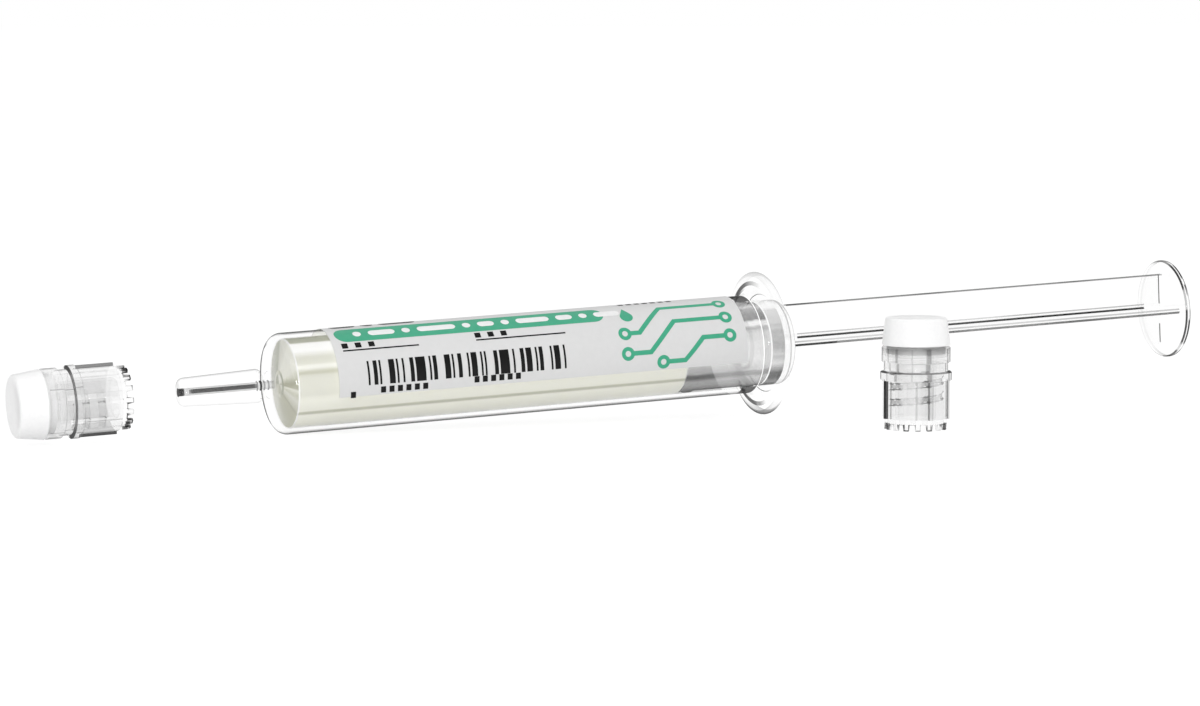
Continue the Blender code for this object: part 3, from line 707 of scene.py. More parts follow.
def makeBarrel():
    b = barrel
    names = ["wall", "bore", "core", "shoulder", "dark", "band", "soft", "nozzle", "flat", "rim", "arc",
             "fillet", "filletDark", "ring", "block", "neck", "mark", "corner", "markSoft"]
    materials = [wallClear, boreClear, channelCore, shoulderClear, edgeDark, channelBand, edgeSoft,
                 nozzleClear, flatClear,
                 rimClear, arcDark, filletClear, filletDark, ringHighlight, blockClear, neckClear, markDark,
                 cornerClear, markSoft]
    slot = {name: i for i, name in enumerate(names)}
    half = b["flangeThick"] / 2
    frontFace = b["length"] - b["flangeThick"]
    neckEnd = frontStation - b["neckLength"]
    edge = b["radius"] + b["flangeFillet"]
    rows = [(b["bore"] + b["mouthChamfer"], b["length"], slot["flat"]),
            (b["radius"] - b["arcHalf"], b["length"], slot["arc"])]
    rows += [(b["radius"] + b["arcHalf"], b["length"], slot["flat"])]
    rows += arcRows(b["flangeRadius"] - half, b["length"] - half, half, 90, -90, 12, slot["rim"])
    rows[-1] = (*rows[-1][:2], slot["flat"])
    rows += [(edge + b["faceArc"], frontFace, slot["arc"])]
    fillet = arcRows(edge, frontFace - b["flangeFillet"], b["flangeFillet"], 90, 180, 10, slot["fillet"])
    rows += [(*row[:2], slot["arc"] if i == 0 else slot["filletDark"] if i < 3 else row[2])
             for i, row in enumerate(fillet)]
    rows[-1] = (*rows[-1][:2], slot["ring"])
    start = frontFace - b["flangeFillet"] - b["ringWide"]
    rows += [(b["radius"], start, slot["block"]), (b["radius"], label["end"] + 0.3, slot["wall"])]
    rows += [(b["radius"], 60.0, slot["wall"]), (b["radius"], 20.0, slot["wall"])]
    shoulder = arcRows(b["radius"] - b["shoulderRound"], 0.0, b["shoulderRound"], 0, -80, 16,
                       slot["shoulder"])
    rows += [(*row[:2], slot["wall"] if i < 2 else slot["corner"] if i < 9 else row[2])
             for i, row in enumerate(shoulder)]
    rows[-1] = (*rows[-1][:2], slot["flat"])
    rows += [(b["neckRadius"] + b["baseRound"], frontStation, slot["flat"])]
    rows += [(b["neckRadius"] + 0.15, frontStation - 0.15, slot["neck"])]
    rows += [(b["neckRadius"], frontStation - b["mouthChamfer"], slot["flat"]),
             (b["neckRadius"], neckEnd + 0.4, slot["neck"])]
    rows += [(b["neckRadius"], neckEnd, slot["flat"])]
    rows += arcRows(b["nozzleBase"] - b["baseRound"], neckEnd - b["baseRound"], b["baseRound"], 70, 0, 6,
                    slot["nozzle"])
    rows += arcRows(b["nozzleTip"] - b["tipRound"], tipStation + b["tipRound"], b["tipRound"], 0, -90, 8,
                    slot["nozzle"])
    rows += [(b["channel"] + b["tipEdge"], tipStation, slot["dark"]),
             (b["channel"], tipStation + b["tipEdge"], slot["dark"])]
    rows += [(b["channel"], tipStation + b["mouthBand"], slot["band"]),
             (b["channel"], tipStation + b["coreFrom"], slot["core"])]
    for low, high, mark in b["channelMarks"]:
        rows += [(b["channel"], low, slot[mark]), (b["channel"] + b["markHigh"], low, slot[mark])]
        rows += [(b["channel"] + b["markHigh"], high, slot["band"]), (b["channel"], high, slot["band"])]
    rows += [(b["channel"], throatStation - b["throatDepth"], slot["flat"])]
    rows += [(b["throat"], throatStation, slot["flat"]),
             (b["throat"] + 0.3, throatStation + 0.06, slot["bore"])]
    rows += [(b["bore"] - 0.5, throatStation + b["coneDepth"] - 0.1, slot["bore"])]
    rows += [(b["bore"] - 0.12, throatStation + b["coneDepth"], slot["bore"])]
    rows += [(b["bore"], throatStation + b["coneDepth"] + 0.4, slot["bore"]),
             (b["bore"], 40.0, slot["bore"])]
    rows += [(b["bore"], b["length"] - b["mouthChamfer"], slot["flat"])]
    piece = turnedPiece("barrelShell", rows, syringePlace(), materials, b["steps"])
    return settle(piece, "barrel", "clear_plastic", "barrel")


# flux
gel = {"radius": 8.8, "gap": 0.15, "length": 82.6, "rimRound": 0.25, "steps": 192, "keep": 0.016,
       "coneMiddle": 5.5, "nubRise": 0.09, "nubWide": 0.45, "nubFlat": 0.3}


def makeGel():
    g = gel
    body, front, rim, nubEdge = range(4)
    cone = throatStation + barrel["coneDepth"] + g["gap"]
    nub = barrel["throat"] - g["gap"]
    rows = [(0.0, g["length"], body)]
    rows += arcRows(g["radius"] - g["rimRound"], g["length"] - g["rimRound"], g["rimRound"], 90, 0, 4, body)
    rows += [(g["radius"], station, body) for station in (60.0, 40.0, 20.0)]
    rows += arcRows(g["radius"] - g["rimRound"], cone + g["rimRound"], g["rimRound"], 0, -80, 5, rim)
    rows[-1] = (*rows[-1][:2], front)
    rows += [(g["coneMiddle"],
              cone - (g["radius"] - g["coneMiddle"]) * barrel["coneDepth"] / (g["radius"] - nub), front)]
    rows += [(nub + g["nubWide"], throatStation + g["gap"] + g["nubRise"], nubEdge),
             (nub, throatStation + g["gap"], nubEdge)]
    rows += [(nub - g["nubFlat"], throatStation + g["gap"], front), (0.0, throatStation + g["gap"], front)]
    piece = turnedPiece("gelCharge", rows, syringePlace(), [gelCream, gelFront, gelRim, gelNub], g["steps"],
                        closed=False)
    settle(piece, "barrel", "flux_gel", "flux_charge")
    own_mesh(piece)
    return piece


makeGel()
print("flux made")


# label
label = {"start": 8.0, "end": 95.3, "low": -15.0, "high": 247.5, "inner": 10.06, "outer": 10.16,
         "ink": 10.166, "inkDeep": 0.012, "slice": 0.35}


def labelPoint(station, arc, radius):
    # arc is measured on the label's face, upwards from the side that faces the viewer
    turn = arc / label["outer"]
    return Vector((-radius * sin(turn), -radius * cos(turn), station))


def makeFilm():
    shape = bmesh.new()
    wrap = shape.loops.layers.uv.new("wrap")
    turns = 190
    lengths = 24
    layers = []
    for radius in (label["inner"], label["outer"]):
        layer = []
        for i in range(turns + 1):
            angle = radians(label["low"] + (label["high"] - label["low"]) * i / turns)
            layer.append([shape.verts.new((-radius * sin(angle), -radius * cos(angle),
                                           label["start"] + (label["end"] - label["start"]) * j / lengths))
                          for j in range(lengths + 1)])
        layers.append(layer)
    inner, outer = layers
    for i in range(turns):
        for j in range(lengths):
            for side, layer in enumerate(layers):
                face = shape.faces.new((layer[i][j], layer[i + 1][j], layer[i + 1][j + 1], layer[i][j + 1]))
                face.material_index = 1 - side
    for i in range(turns):
        for j in (0, lengths):
            shape.faces.new((inner[i][j], inner[i + 1][j], outer[i + 1][j], outer[i][j]))
    for j in range(lengths):
        for i in (0, turns):
            shape.faces.new((inner[i][j], inner[i][j + 1], outer[i][j + 1], outer[i][j]))
    for face in shape.faces:
        for loop in face.loops:
            loop[wrap].uv = (atan2(loop.vert.co.y, loop.vert.co.x) / (2 * pi) % 1.0, loop.vert.co.z * 0.01)
    piece = finishMesh("labelFilm", shape, syringePlace(), [filmGrey, filmBack], 40.0)
    return settle(piece, "barrel", "label_film", "label")


def printPiece(name, outlines, ink, lift=0.0):
    # flat outlines in (station, arc), sliced finely enough to bend round the label, with a thin body
    shape = bmesh.new()
    for outline in outlines:
        shape.faces.new([shape.verts.new((station, arc, 0.0)) for station, arc in outline])
    bmesh.ops.triangulate(shape, faces=shape.faces)
    lowest = min(vertex.co.y for vertex in shape.verts)
    highest = max(vertex.co.y for vertex in shape.verts)
    for i in range(1, int((highest - lowest) / label["slice"]) + 1):
        parts = shape.verts[:] + shape.edges[:] + shape.faces[:]
        bmesh.ops.bisect_plane(shape, geom=parts, plane_co=(0.0, lowest + i * label["slice"], 0.0),
                               plane_no=(0.0, 1.0, 0.0))
    front = shape.faces[:]
    made = bmesh.ops.extrude_face_region(shape, geom=front)
    raised = {item for item in made["geom"] if isinstance(item, bmesh.types.BMVert)}
    for vertex in shape.verts:
        radius = label["ink"] + lift + (label["inkDeep"] if vertex in raised else 0.0)
        vertex.co = labelPoint(vertex.co.x, vertex.co.y, radius)
    piece = finishMesh(name, shape, syringePlace(), [ink], 40.0)
    return settle(piece, "barrel", "label_film")


def capsule(start, end, low, high, points=14):
    # a bar with round ends
    radius = (high - low) / 2
    middle = (high + low) / 2
    left = [(start + radius - radius * sin(pi * i / points), middle - radius * cos(pi * i / points))
            for i in range(points + 1)]
    right = [(end - radius + radius * sin(pi * i / points), middle + radius * cos(pi * i / points))
             for i in range(points + 1)]
    return left[::-1] + right[::-1]


def ring(station, arc, outer, inner, points=28):
    # a round pad, as the quads between its two circles
    def at(radius, i):
        return (station + radius * cos(2 * pi * i / points), arc + radius * sin(2 * pi * i / points))
    return [[at(outer, i), at(outer, i + 1), at(inner, i + 1), at(inner, i)] for i in range(points)]


def trace(route, width):
    # an even line along a route with mitred corners
    sides = ([], [])
    for i, (x, y) in enumerate(route):
        before = route[max(i - 1, 0)]
        after = route[min(i + 1, len(route) - 1)]
        steps = []
        for first, second in ((before, (x, y)), ((x, y), after)):
            size = hypot(second[0] - first[0], second[1] - first[1])
            if size:
                steps.append(((second[0] - first[0]) / size, (second[1] - first[1]) / size))
        normal = Vector((-sum(step[1] for step in steps), sum(step[0] for step in steps))).normalized()
        reach = width / 2 / (normal.x * -steps[0][1] + normal.y * steps[0][0])
        sides[0].append((x + normal.x * reach, y + normal.y * reach))
        sides[1].append((x - normal.x * reach, y - normal.y * reach))
    return sides[0] + sides[1][::-1]


def drop(station, arc, radius, points=26):
    # a drop that points up
    outline = [(station, arc + 2.1 * radius)]
    for i in range(points + 1):
        angle = radians(150 + 240 * i / points)
        outline.append((station + radius * cos(angle), arc + radius * sin(angle)))
    return outline


banner = {"start": 9.2, "end": 66.0, "low": 8.9, "high": 13.4}
bars = {"start": 14.0, "end": 55.4, "low": -0.6, "high": 4.2, "unit": 0.40,
        "widths": (1, 2, 1, 3, 1, 1, 2, 5, 1, 2, 3),
        "gaps": (2, 1, 4, 1, 2, 3, 1)}
# white dots and dashes in the banner: how long each is; black fields above it; small black marks elsewhere
bannerMarks = {"start": 13.0, "gap": 1.5, "thick": 1.7, "lengths": (1.7, 5.5, 1.7, 8.0, 1.7, 3.5, 1.7, 7.0,
                                                                    3.5, 1.7, 5.5)}
fields = ((9.6, 15.0, 14.7, 17.2), (16.2, 18.7, 14.7, 17.2), (19.9, 27.5, 14.7, 17.2))
smallMarks = {"rows": ((10.3, 1, -2.9), (16.5, 6, -2.3), (36.0, 6, -1.9), (71.0, 7, 14.6)), "step": 1.75,
              "size": (1.05, 1.25)}
rules = {"low": 6.6, "thick": 0.32, "spans": ((9.8, 25.5), (37.5, 56.5)), "square": 1.25}
motif = {"width": 0.95, "pad": 1.4, "hole": 0.6, "drop": (70.6, 9.6, 1.35),
         "routes": (((69.0, 1.2), (74.0, 1.2), (80.2, 7.4), (91.6, 7.4)),
                    ((69.0, 5.4), (72.2, 5.4), (78.3, 11.5), (91.6, 11.5)),
                    ((76.6, -1.0), (81.4, -1.0), (85.7, 3.3), (91.6, 3.3)))}


def makePrint():
    printPiece("labelBanner", [capsule(banner["start"], banner["end"], banner["low"], banner["high"])],
               inkGreen)
    outlines = []
    station, count = bars["start"], 0
    while station < bars["end"]:
        wide = bars["unit"] * bars["widths"][count % len(bars["widths"])]
        outlines.append([(station, bars["low"]), (station + wide, bars["low"]),
                         (station + wide, bars["high"]), (station, bars["high"])])
        station += wide + bars["unit"] * bars["gaps"][count % len(bars["gaps"])]
        count += 1
    printPiece("labelBars", outlines, inkBlack)
    outlines = []
    for start, end in rules["spans"]:
        low = rules["low"]
        outlines.append([(start, low), (end, low), (end, low + rules["thick"]),
                         (start, low + rules["thick"])])
        for i in range(3):
            left = start + 2.2 * i * rules["square"]
            bottom = low + 2.2 * rules["thick"]
            outlines.append([(left, bottom), (left + rules["square"], bottom),
                             (left + rules["square"], bottom + rules["square"]),
                             (left, bottom + rules["square"])])
    for start, number, low in smallMarks["rows"]:
        for i in range(number):
            left = start + i * smallMarks["step"]
            right, top = left + smallMarks["size"][0], low + smallMarks["size"][1]
            outlines.append([(left, low), (right, low), (right, top), (left, top)])
    printPiece("labelRules", outlines, inkBlack)
    printPiece("labelFields", [capsule(*field) for field in fields], inkBlack)
    marks = []
    left = bannerMarks["start"]
    middle = (banner["low"] + banner["high"]) / 2
    for length in bannerMarks["lengths"]:
        marks.append(capsule(left, left + length, middle - bannerMarks["thick"] / 2,
                             middle + bannerMarks["thick"] / 2, 8))
        left += length + bannerMarks["gap"]
    printPiece("labelBannerMarks", marks, inkWhite, 0.013)
    for i, route in enumerate(motif["routes"]):
        # the line stops inside the ring of each pad
        reach = (motif["pad"] + motif["hole"]) / 2
        route = [(route[0][0] + reach, route[0][1])] + list(route[1:-1]) + [(route[-1][0] - reach,
                                                                             route[-1][1])]
        printPiece("labelTrace%d" % (i + 1), [trace(route, motif["width"])], inkGreen)
    pads = []
    for route in motif["routes"]:
        for station, arc in (route[0], route[-1]):
            pads += ring(station, arc, motif["pad"], motif["hole"])
    printPiece("labelPads", pads, inkGreen, 0.004)
    printPiece("labelDrop", [drop(*motif["drop"])], inkGreen)


makeBarrel()
print("barrel made")
makeFilm()
makePrint()
print("label made")


# piston
piston = {"start": 82.9, "length": 18.3, "radius": 8.55, "rib": 8.8, "ribWidth": 1.5, "ribInset": 1.6,
          "wall": 1.2, "front": 2.2, "round": 0.12}


def makePiston():
    p = piston
    wall, flat, rear = range(3)
    cavity = p["radius"] - p["wall"]
    edge = p["rib"] - p["radius"]
    rows = [(cavity, p["length"], flat), (p["radius"] - p["round"], p["length"], rear)]
    rows += [(p["radius"], p["length"] - p["round"], rear)]
    for low in (p["length"] - p["ribInset"] - p["ribWidth"], p["ribInset"]):
        rows += [(p["radius"], low + p["ribWidth"], wall), (p["rib"], low + p["ribWidth"] - edge, wall)]
        rows += [(p["rib"], low + edge, wall), (p["radius"], low, wall)]
    rows += [(p["radius"], p["round"], wall), (p["radius"] - p["round"], 0.0, flat), (0.0, 0.0, flat),
             (0.0, p["front"], flat)]
    rows += [(cavity - p["wall"], p["front"], flat)]
    rows += arcRows(cavity - p["wall"], p["front"] + p["wall"], p["wall"], -90, 0, 6, flat)[1:]
    piece = turnedPiece("pistonCup", rows, syringePlace(p["start"]), [pistonClear, flatClear, pistonRear],
                        160)
    return settle(piece, "piston", "clear_plastic", "piston")


makePiston()
print("piston made")


# plunger rod
rod = {"start": 101.5, "guide": 5.6, "length": 96.9, "guideRadius": 8.7, "guideRound": 1.7,
       "noseRadius": 5.2,
       "noseLength": 3.2, "noseChamfer": 0.6, "rib": 7.5, "ribThick": 1.1, "ribEdge": 0.3, "ribRoot": 0.4,
       "whiteFrom": 2.7, "thumbRadius": 10.35, "thumbThick": 1.1, "thumbRound": 0.31,
       "lineFrom": {"top": 7.0, "far": 13.0, "near": 15.0},
       "beadDeep": 0.22, "beadWide": 0.42, "beads": ((-7.2, -1.1), (3.2, 7.2)), "split": 0.05,
       "farSplit": 0.14}


def makeRod():
    r = rod
    flat, soft, paintedReflectionWall, rounded, line, mid, faint, broken, rim, high, edge = range(11)
    place = syringePlace(r["start"])
    materials = [flatClear, edgeSoft, guideClear, guideRound, lineDark, lineMid, lineFaint, thumbRound,
                 thumbRim, lineHigh, guideEdge]
    rows = [(0.0, r["guide"], flat)]
    rows += arcRows(r["guideRadius"] - r["guideRound"], r["guide"] - r["guideRound"], r["guideRound"], 90,
                    0, 8, rounded)
    rows[-2] = (*rows[-2][:2], edge)
    # the guide's wall takes painted reflection bands by angle
    rows += [(r["guideRadius"], r["whiteFrom"], paintedReflectionWall), (r["guideRadius"], 0.2, paintedReflectionWall)]
    rows += [(r["guideRadius"] - 0.2, 0.0, flat), (r["noseRadius"], 0.0, flat)]
    rows += [(r["noseRadius"], r["noseChamfer"] - r["noseLength"], soft)]
    rows += [(r["noseRadius"] - r["noseChamfer"], -r["noseLength"], flat), (0.0, -r["noseLength"], flat)]
    piece = turnedPiece("pushRod", rows, place, materials, 160, closed=False)
    low = r["length"] - r["thumbThick"]
    rows = [(0.0, r["length"], flat)]
    rows += arcRows(r["thumbRadius"] - r["thumbRound"], r["length"] - r["thumbRound"], r["thumbRound"], 90,
                    0, 4, broken)
    rows[-1] = (*rows[-1][:2], rim)
    rows += [(r["thumbRadius"], r["length"] - r["thumbThick"] / 2, flat)]
    rows += arcRows(r["thumbRadius"] - r["thumbRound"], low + r["thumbRound"], r["thumbRound"], 0, -90, 4,
                    broken)
    rows[-1] = (*rows[-1][:2], flat)
    rows += [(0.0, low, flat)]
    joined = [turnedPiece("thumbDisc", rows, place, materials, 160, closed=False)]
    ribLength = low - r["guide"] + 2 * r["ribRoot"]
    centre = (0.0, 0.0, r["guide"] - r["ribRoot"] + ribLength / 2)
    # local X points down and local Y away from the viewer
    top, far, near = (r["lineFrom"][side] for side in ("top", "far", "near"))

    # the ribs' rounds take painted dark lines standing in for reflections: the level rib's lower rounds
    # dark, or grey on the near side past near, its upper rounds faint, and the upright rib's upper rounds
    # past top a lighter grey
    def level(normal, spot):
        curved = max(abs(value) for value in normal) < 0.99
        if abs(normal.z) > 0.2 or (spot.y > 0 and spot.z < far):
            return flat
        if not curved and (abs(normal.y) < 0.9 or spot.x < (r["farSplit"] if spot.y > 0 else r["split"])):
            return flat
        if normal.x < 0.2 and curved:
            return faint
        return line if spot.y > 0 or spot.z < near else mid

    def upright(normal, spot):
        curved = max(abs(value) for value in normal) < 0.99
        return high if curved and spot.x < 0 and spot.z > top else flat

    lengthwise, down = (0.0, 0.0, 1.0), (1.0, 0.0, 0.0)
    joined.append(bevelledBar("ribLevel", (r["ribThick"], 2 * r["rib"], ribLength), centre, r["ribEdge"],
                              place,
                              materials, level, ((lengthwise, far), (lengthwise, near), (down, r["split"]),
                                                 (down, r["farSplit"]))))
    joined.append(bevelledBar("ribUpright", (2 * r["rib"], r["ribThick"], ribLength), centre, r["ribEdge"],
                              place, materials, upright, ((lengthwise, top),)))
    # the small bead where the upright rib meets the thumb disc, painted with the dark line
    for start, end in r["beads"]:
        size = (end - start, r["beadWide"], 1.4 * r["beadDeep"])
        middle = ((start + end) / 2, r["ribThick"] / 2, low - r["beadDeep"] / 2)
        joined.append(bevelledBar("bead", size, middle, 0.05, place, materials, lambda normal, spot: line))
    joinSolids(piece, joined)
    return settle(piece, "rod", "clear_plastic", "plunger_rod")


makeRod()
print("rod made")


# caps
cap = {"length": 22.2, "steps": 240, "sleeveTop": 16.4, "skirt": 6.8, "skirtLow": 13.3, "waist": 6.35,
       "waistLow": 11.6, "collar": 7.1, "collarLow": 9.7, "base": 6.2, "baseHigh": 2.2, "upperInner": 6.15,
       "lowerInner": 5.55,
       "webTop": 14.4, "webLow": 13.2, "socket": 3.55, "socketOuter": 4.05, "socketTop": 20.8,
       "socketLow": 2.1,
       "ribs": 8, "ribWide": 0.8, "teeth": 16, "toothDeep": 1.2, "tipBand": 0.26, "edge": 0.15,
       "threadLow": 4.2, "threadHigh": 12.2, "threadLead": 3.1, "threadWide": 0.9, "threadDeep": 0.38,
       "threadRows": 44, "threadShift": 0.77, "lineEdge": 0.30,
       "closureBase": 6.8, "closureTop": 6.2, "closureLow": 16.7, "closureRound": 0.6, "closureInner": 4.35,
       "spigot": 5.85, "spigotLow": 15.0, "closureCeiling": 21.1, "dish": 0.12, "dishRadius": 4.7}


def onRib(angle):
    pitch = 2 * pi / cap["ribs"]
    off = abs((angle + pitch / 2) % pitch - pitch / 2) * cap["waist"]
    return off < cap["ribWide"] / 2


def onTooth(angle):
    pitch = 2 * pi / cap["teeth"]
    return abs((angle + pitch / 2) % pitch - pitch / 2) < pitch / 4


def threadHeight(angle, station):
    lead = cap["threadLead"]
    off = abs((station + cap["threadShift"] - lead * angle / (2 * pi)) % lead - lead / 2)
    flank = 0.25
    height = min(1.0, max(0.0, (cap["threadWide"] / 2 + flank - off) / flank))
    ends = min(1.0, (station - cap["threadLow"]) / 0.6, (cap["threadHigh"] - station) / 0.6)
    return cap["threadDeep"] * height * max(0.0, ends)


def makeSleeve(name, place, body, node, look):
    c = cap
    e = c["edge"]
    materials = capLooks[look][0]
    slot = {part: i for i, part in enumerate(materials)}
    skin, inner, soft, line = (slot[part] for part in ("skin", "inner", "soft", "line"))
    rows = [(c["upperInner"], c["sleeveTop"], soft), (c["skirt"] - e, c["sleeveTop"], soft)]
    rows += [(c["skirt"], c["sleeveTop"] - e, slot["skirt"])]
    rows += [(c["skirt"], c["skirtLow"] + e, soft), (c["skirt"] - e, c["skirtLow"], soft),
             (c["waist"], c["skirtLow"], skin)]
    rows += [(c["waist"], c["waistLow"], line), (c["collar"] - c["lineEdge"], c["waistLow"], line)]
    rows += [(c["collar"], c["waistLow"] - c["lineEdge"], skin), (c["collar"], c["collarLow"] + e, soft)]
    ribEnd = lambda angle: c["collar"] - e if onRib(angle) else c["waist"]
    rows += [(c["collar"] - e, c["collarLow"], soft), (ribEnd, c["collarLow"] - 0.01, slot["rib"])]
    rows += [(ribEnd, c["baseHigh"], soft)]
    rows += [(c["base"], c["baseHigh"] - 0.02, inner), (c["base"], c["toothDeep"] + 0.1, inner)]
    toothEnd = lambda angle: 0.0 if onTooth(angle) else c["toothDeep"]
    tipBand = lambda angle: c["tipBand"] if onTooth(angle) else c["toothDeep"]
    rows += [(c["base"], tipBand, slot["tooth"]), (c["base"], toothEnd, slot["tooth"]),
             (c["lowerInner"], toothEnd, inner)]
    rows += [(c["lowerInner"], c["toothDeep"] + 0.1, inner)]
    for i in range(c["threadRows"] + 1):
        station = c["threadLow"] + (c["threadHigh"] - c["threadLow"]) * i / c["threadRows"]
        rows.append((lambda angle, z=station: c["lowerInner"] - threadHeight(angle, z), station, inner))
    rows += [(c["lowerInner"], c["webLow"], inner), (c["socketOuter"], c["webLow"], inner)]
    rows += [(c["socketOuter"], c["socketLow"] + e, inner), (c["socketOuter"] - e, c["socketLow"], soft)]
    rows += [(c["socket"] + e, c["socketLow"], inner), (c["socket"], c["socketLow"] + e, inner)]
    rows += [(c["socket"], c["socketTop"], soft), (c["socketOuter"], c["socketTop"], inner),
             (c["socketOuter"], c["webTop"], inner)]
    rows += [(c["upperInner"], c["webTop"], inner)]
    piece = turnedPiece(name, rows, place, materials.values(), c["steps"], sideSlot=slot["side"])
    markSleeve(piece, place, slot)
    return settle(piece, body, "clear_cap_plastic", node)


def markSleeve(piece, place, slot):
    # the thread, the teeth and the wall between the ribs take their own looks
    back = place.inverted()
    for face in piece.data.polygons:
        points = [back @ piece.data.vertices[i].co for i in face.vertices]
        radii = [hypot(point.x, point.y) for point in points]
        inner = cap["lowerInner"]
        if inner - cap["threadDeep"] - 0.01 < min(radii) and max(radii) < inner + 0.01:
            if max(radii) - min(radii) > 0.12:
                face.material_index = slot["thread"]
            elif max(radii) < inner - 0.9 * cap["threadDeep"]:
                face.material_index = slot["band"]
        if face.material_index == slot["side"] and max(point.z for point in points) < cap["baseHigh"]:
            face.material_index = slot["tooth"]
        if face.material_index == slot["rib"] and max(radii) < cap["waist"] + 0.01:
            face.material_index = slot["low"]


def makeClosure(name, place, body, node, look):
    c = cap
    white, shade = range(2)
    rows = [(0.0, c["length"] - c["dish"], white), (c["dishRadius"], c["length"] - c["dish"], white)]
    rows += [(c["dishRadius"] + 0.3, c["length"], white)]
    rows += arcRows(c["closureTop"] - c["closureRound"], c["length"] - c["closureRound"], c["closureRound"],
                    90, 0, 7, white)
    rows += [(c["closureBase"], c["closureLow"] + 0.12, white),
             (c["closureBase"] - 0.1, c["closureLow"], shade)]
    rows += [(c["spigot"], c["closureLow"], shade), (c["spigot"], c["spigotLow"], shade),
             (c["closureInner"], c["spigotLow"], shade)]
    rows += [(c["closureInner"], c["closureCeiling"], white), (0.0, c["closureCeiling"], white)]
    piece = turnedPiece(name, rows, place, [whitePlastic, capLooks[look][1]], 160, closed=False)
    return settle(piece, body, "white_plastic", node)


capOff = 10.5
nozzleCapPlace = syringePlace(tipStation - capOff, reverse=True)
spareCapPlace = standingPlace("spare_cap_sleeve")
makeSleeve("nozzleCapSleeve", nozzleCapPlace, "nozzle_cap", "nozzle_cap_sleeve", "lying")
makeClosure("nozzleCapClosure", nozzleCapPlace, "nozzle_cap", "nozzle_cap_closure", "lying")
makeSleeve("spareCapSleeve", spareCapPlace, "barrel", "spare_cap_sleeve", "standing")
makeClosure("spareCapClosure", spareCapPlace, "barrel", "spare_cap_closure", "standing")
print("caps made")


# floor, light and camera
studio = {"floorSize": 30.0, "floorColour": (0.86, 0.86, 0.86), "floorShown": 0.78, "floorGlow": 1.14,
          "worldLight": 0.62,
          "lamps": (("keyLamp", (-0.45, -0.75, 0.60), 0.9, 3.0), ("topLamp", (0.10, 0.15, 0.95), 0.8, 1.4),
                    ("sideLamp", (0.85, -0.35, 0.45), 0.6, 0.8),
                    ("lowLamp", (-0.30, -0.90, 0.09), 0.16, 1.4)), "bounces": 24, "clearLayers": 64}


def makeFloor():
    shape = bmesh.new()
    bmesh.ops.create_grid(shape, x_segments=1, y_segments=1, size=studio["floorSize"] / 2)
    mesh = bpy.data.meshes.new("studioFloor")
    shape.to_mesh(mesh)
    shape.free()
    floor = bpy.data.objects.new("studioFloor", mesh)
    bpy.context.scene.collection.objects.link(floor)
    floor.location.z = -0.00002
    material, nodes, links, shader, place = startMaterial("floorPaint", studio["floorColour"], 0.9)
    shader.inputs["Specular IOR Level"].default_value = 0.0
    glow = nodes.new("ShaderNodeEmission")
    glow.inputs["Strength"].default_value = studio["floorGlow"]
    path = nodes.new("ShaderNodeLightPath").outputs
    seen = addMath(nodes, links, "MAXIMUM", path["Is Camera Ray"], path["Is Glossy Ray"])
    seen = addMath(nodes, links, "MAXIMUM", seen, path["Is Transmission Ray"])
    share = addMath(nodes, links, "MULTIPLY", seen, studio["floorShown"])
    mix = addMix(nodes, links, share, shader.outputs["BSDF"], glow.outputs["Emission"])
    links.new(mix, nodes["Material Output"].inputs["Surface"])
    mesh.materials.append(material)


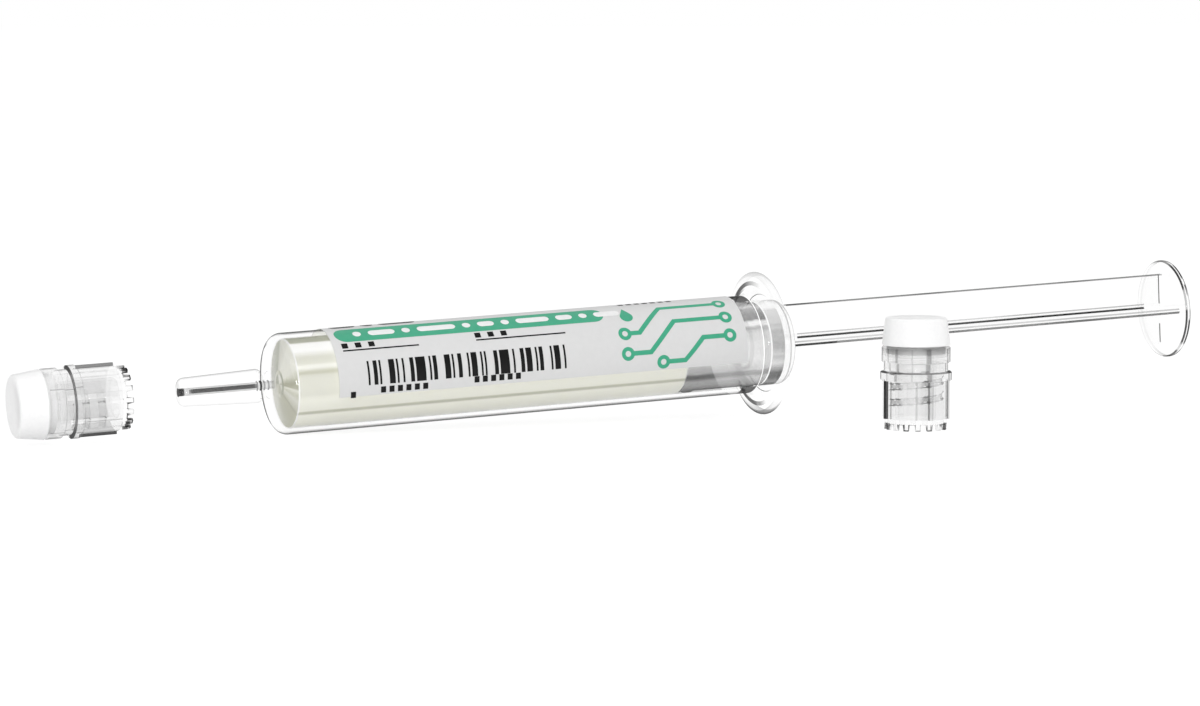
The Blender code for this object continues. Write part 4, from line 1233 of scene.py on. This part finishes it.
def makeWorld():
    world = bpy.data.worlds.new("studioWorld")
    bpy.context.scene.world = world
    world.use_nodes = True
    nodes, links = world.node_tree.nodes, world.node_tree.links
    light = nodes["Background"]
    light.inputs["Color"].default_value = (1.0, 1.0, 1.0, 1.0)
    light.inputs["Strength"].default_value = studio["worldLight"]
    shown = nodes.new("ShaderNodeBackground")
    backdrop = nodes.new("ShaderNodeBackground")
    path = nodes.new("ShaderNodeLightPath").outputs
    sky = nodes.new("ShaderNodeTexCoord")
    split = nodes.new("ShaderNodeSeparateXYZ")
    links.new(sky.outputs["Generated"], split.inputs["Vector"])
    # clear plastic sees white all round the horizon and a darker ceiling, which draws its edges
    height = nodes.new("ShaderNodeMapRange")
    height.inputs["From Min"].default_value = -1.0
    links.new(split.outputs["Z"], height.inputs["Value"])
    ramp = addRamp(nodes, links, height.outputs["Result"],
                   [(0.0, (0.9,)), (0.60, (1.0,)), (0.66, (0.35,)), (0.78, (0.30,)), (0.82, (1.0,)),
                    (0.88, (1.0,)), (0.91, (0.06,)), (1.0, (0.06,))])
    links.new(ramp.outputs["Color"], shown.inputs["Color"])
    through = addMath(nodes, links, "MAXIMUM", path["Is Glossy Ray"], path["Is Transmission Ray"])
    seen = addMix(nodes, links, through, light.outputs["Background"], shown.outputs["Background"])
    backdrop.inputs["Color"].default_value = (1.0, 1.0, 1.0, 1.0)
    mix = addMix(nodes, links, path["Is Camera Ray"], seen, backdrop.outputs["Background"])
    links.new(mix, nodes["World Output"].inputs["Surface"])


def makeLamps():
    for name, place, size, power in studio["lamps"]:
        lamp = bpy.data.lights.new(name, "AREA")
        lamp.shape = "DISK"
        lamp.size = size
        lamp.energy = power
        holder = bpy.data.objects.new(name, lamp)
        bpy.context.scene.collection.objects.link(holder)
        holder.location = place
        holder.rotation_euler = (-Vector(place)).to_track_quat("-Z", "Y").to_euler()


camera = {"turn": 22.43, "height": 4.94, "distance": 808.2, "aim": (66.9, 13.8), "lens": 120.0}


def makeCamera():
    # aim is measured from the shoulder, along the floor, and up from it
    turn, height = radians(camera["turn"]), radians(camera["height"])
    towards = Vector((sin(turn) * cos(height), cos(turn) * cos(height), -sin(height)))
    aim = Vector((shoulderPoint.x + camera["aim"][0] * mm, shoulderPoint.y, camera["aim"][1] * mm))
    lens = bpy.data.cameras.new("photoCamera")
    lens.lens = camera["lens"]
    lens.sensor_width = 36.0
    lens.clip_start = 0.01
    lens.clip_end = 100.0
    holder = bpy.data.objects.new("photoCamera", lens)
    bpy.context.scene.collection.objects.link(holder)
    holder.location = aim - towards * camera["distance"] * mm
    holder.rotation_mode = "QUATERNION"
    holder.rotation_quaternion = towards.to_track_quat("-Z", "Y")
    bpy.context.scene.camera = holder


makeFloor()
makeWorld()
makeLamps()
makeCamera()
cycles = bpy.context.scene.cycles
cycles.max_bounces = studio["bounces"]
cycles.glossy_bounces = studio["bounces"]
cycles.transparent_max_bounces = studio["clearLayers"]
bpy.context.scene.view_settings.view_transform = "Standard"
print("studio made")
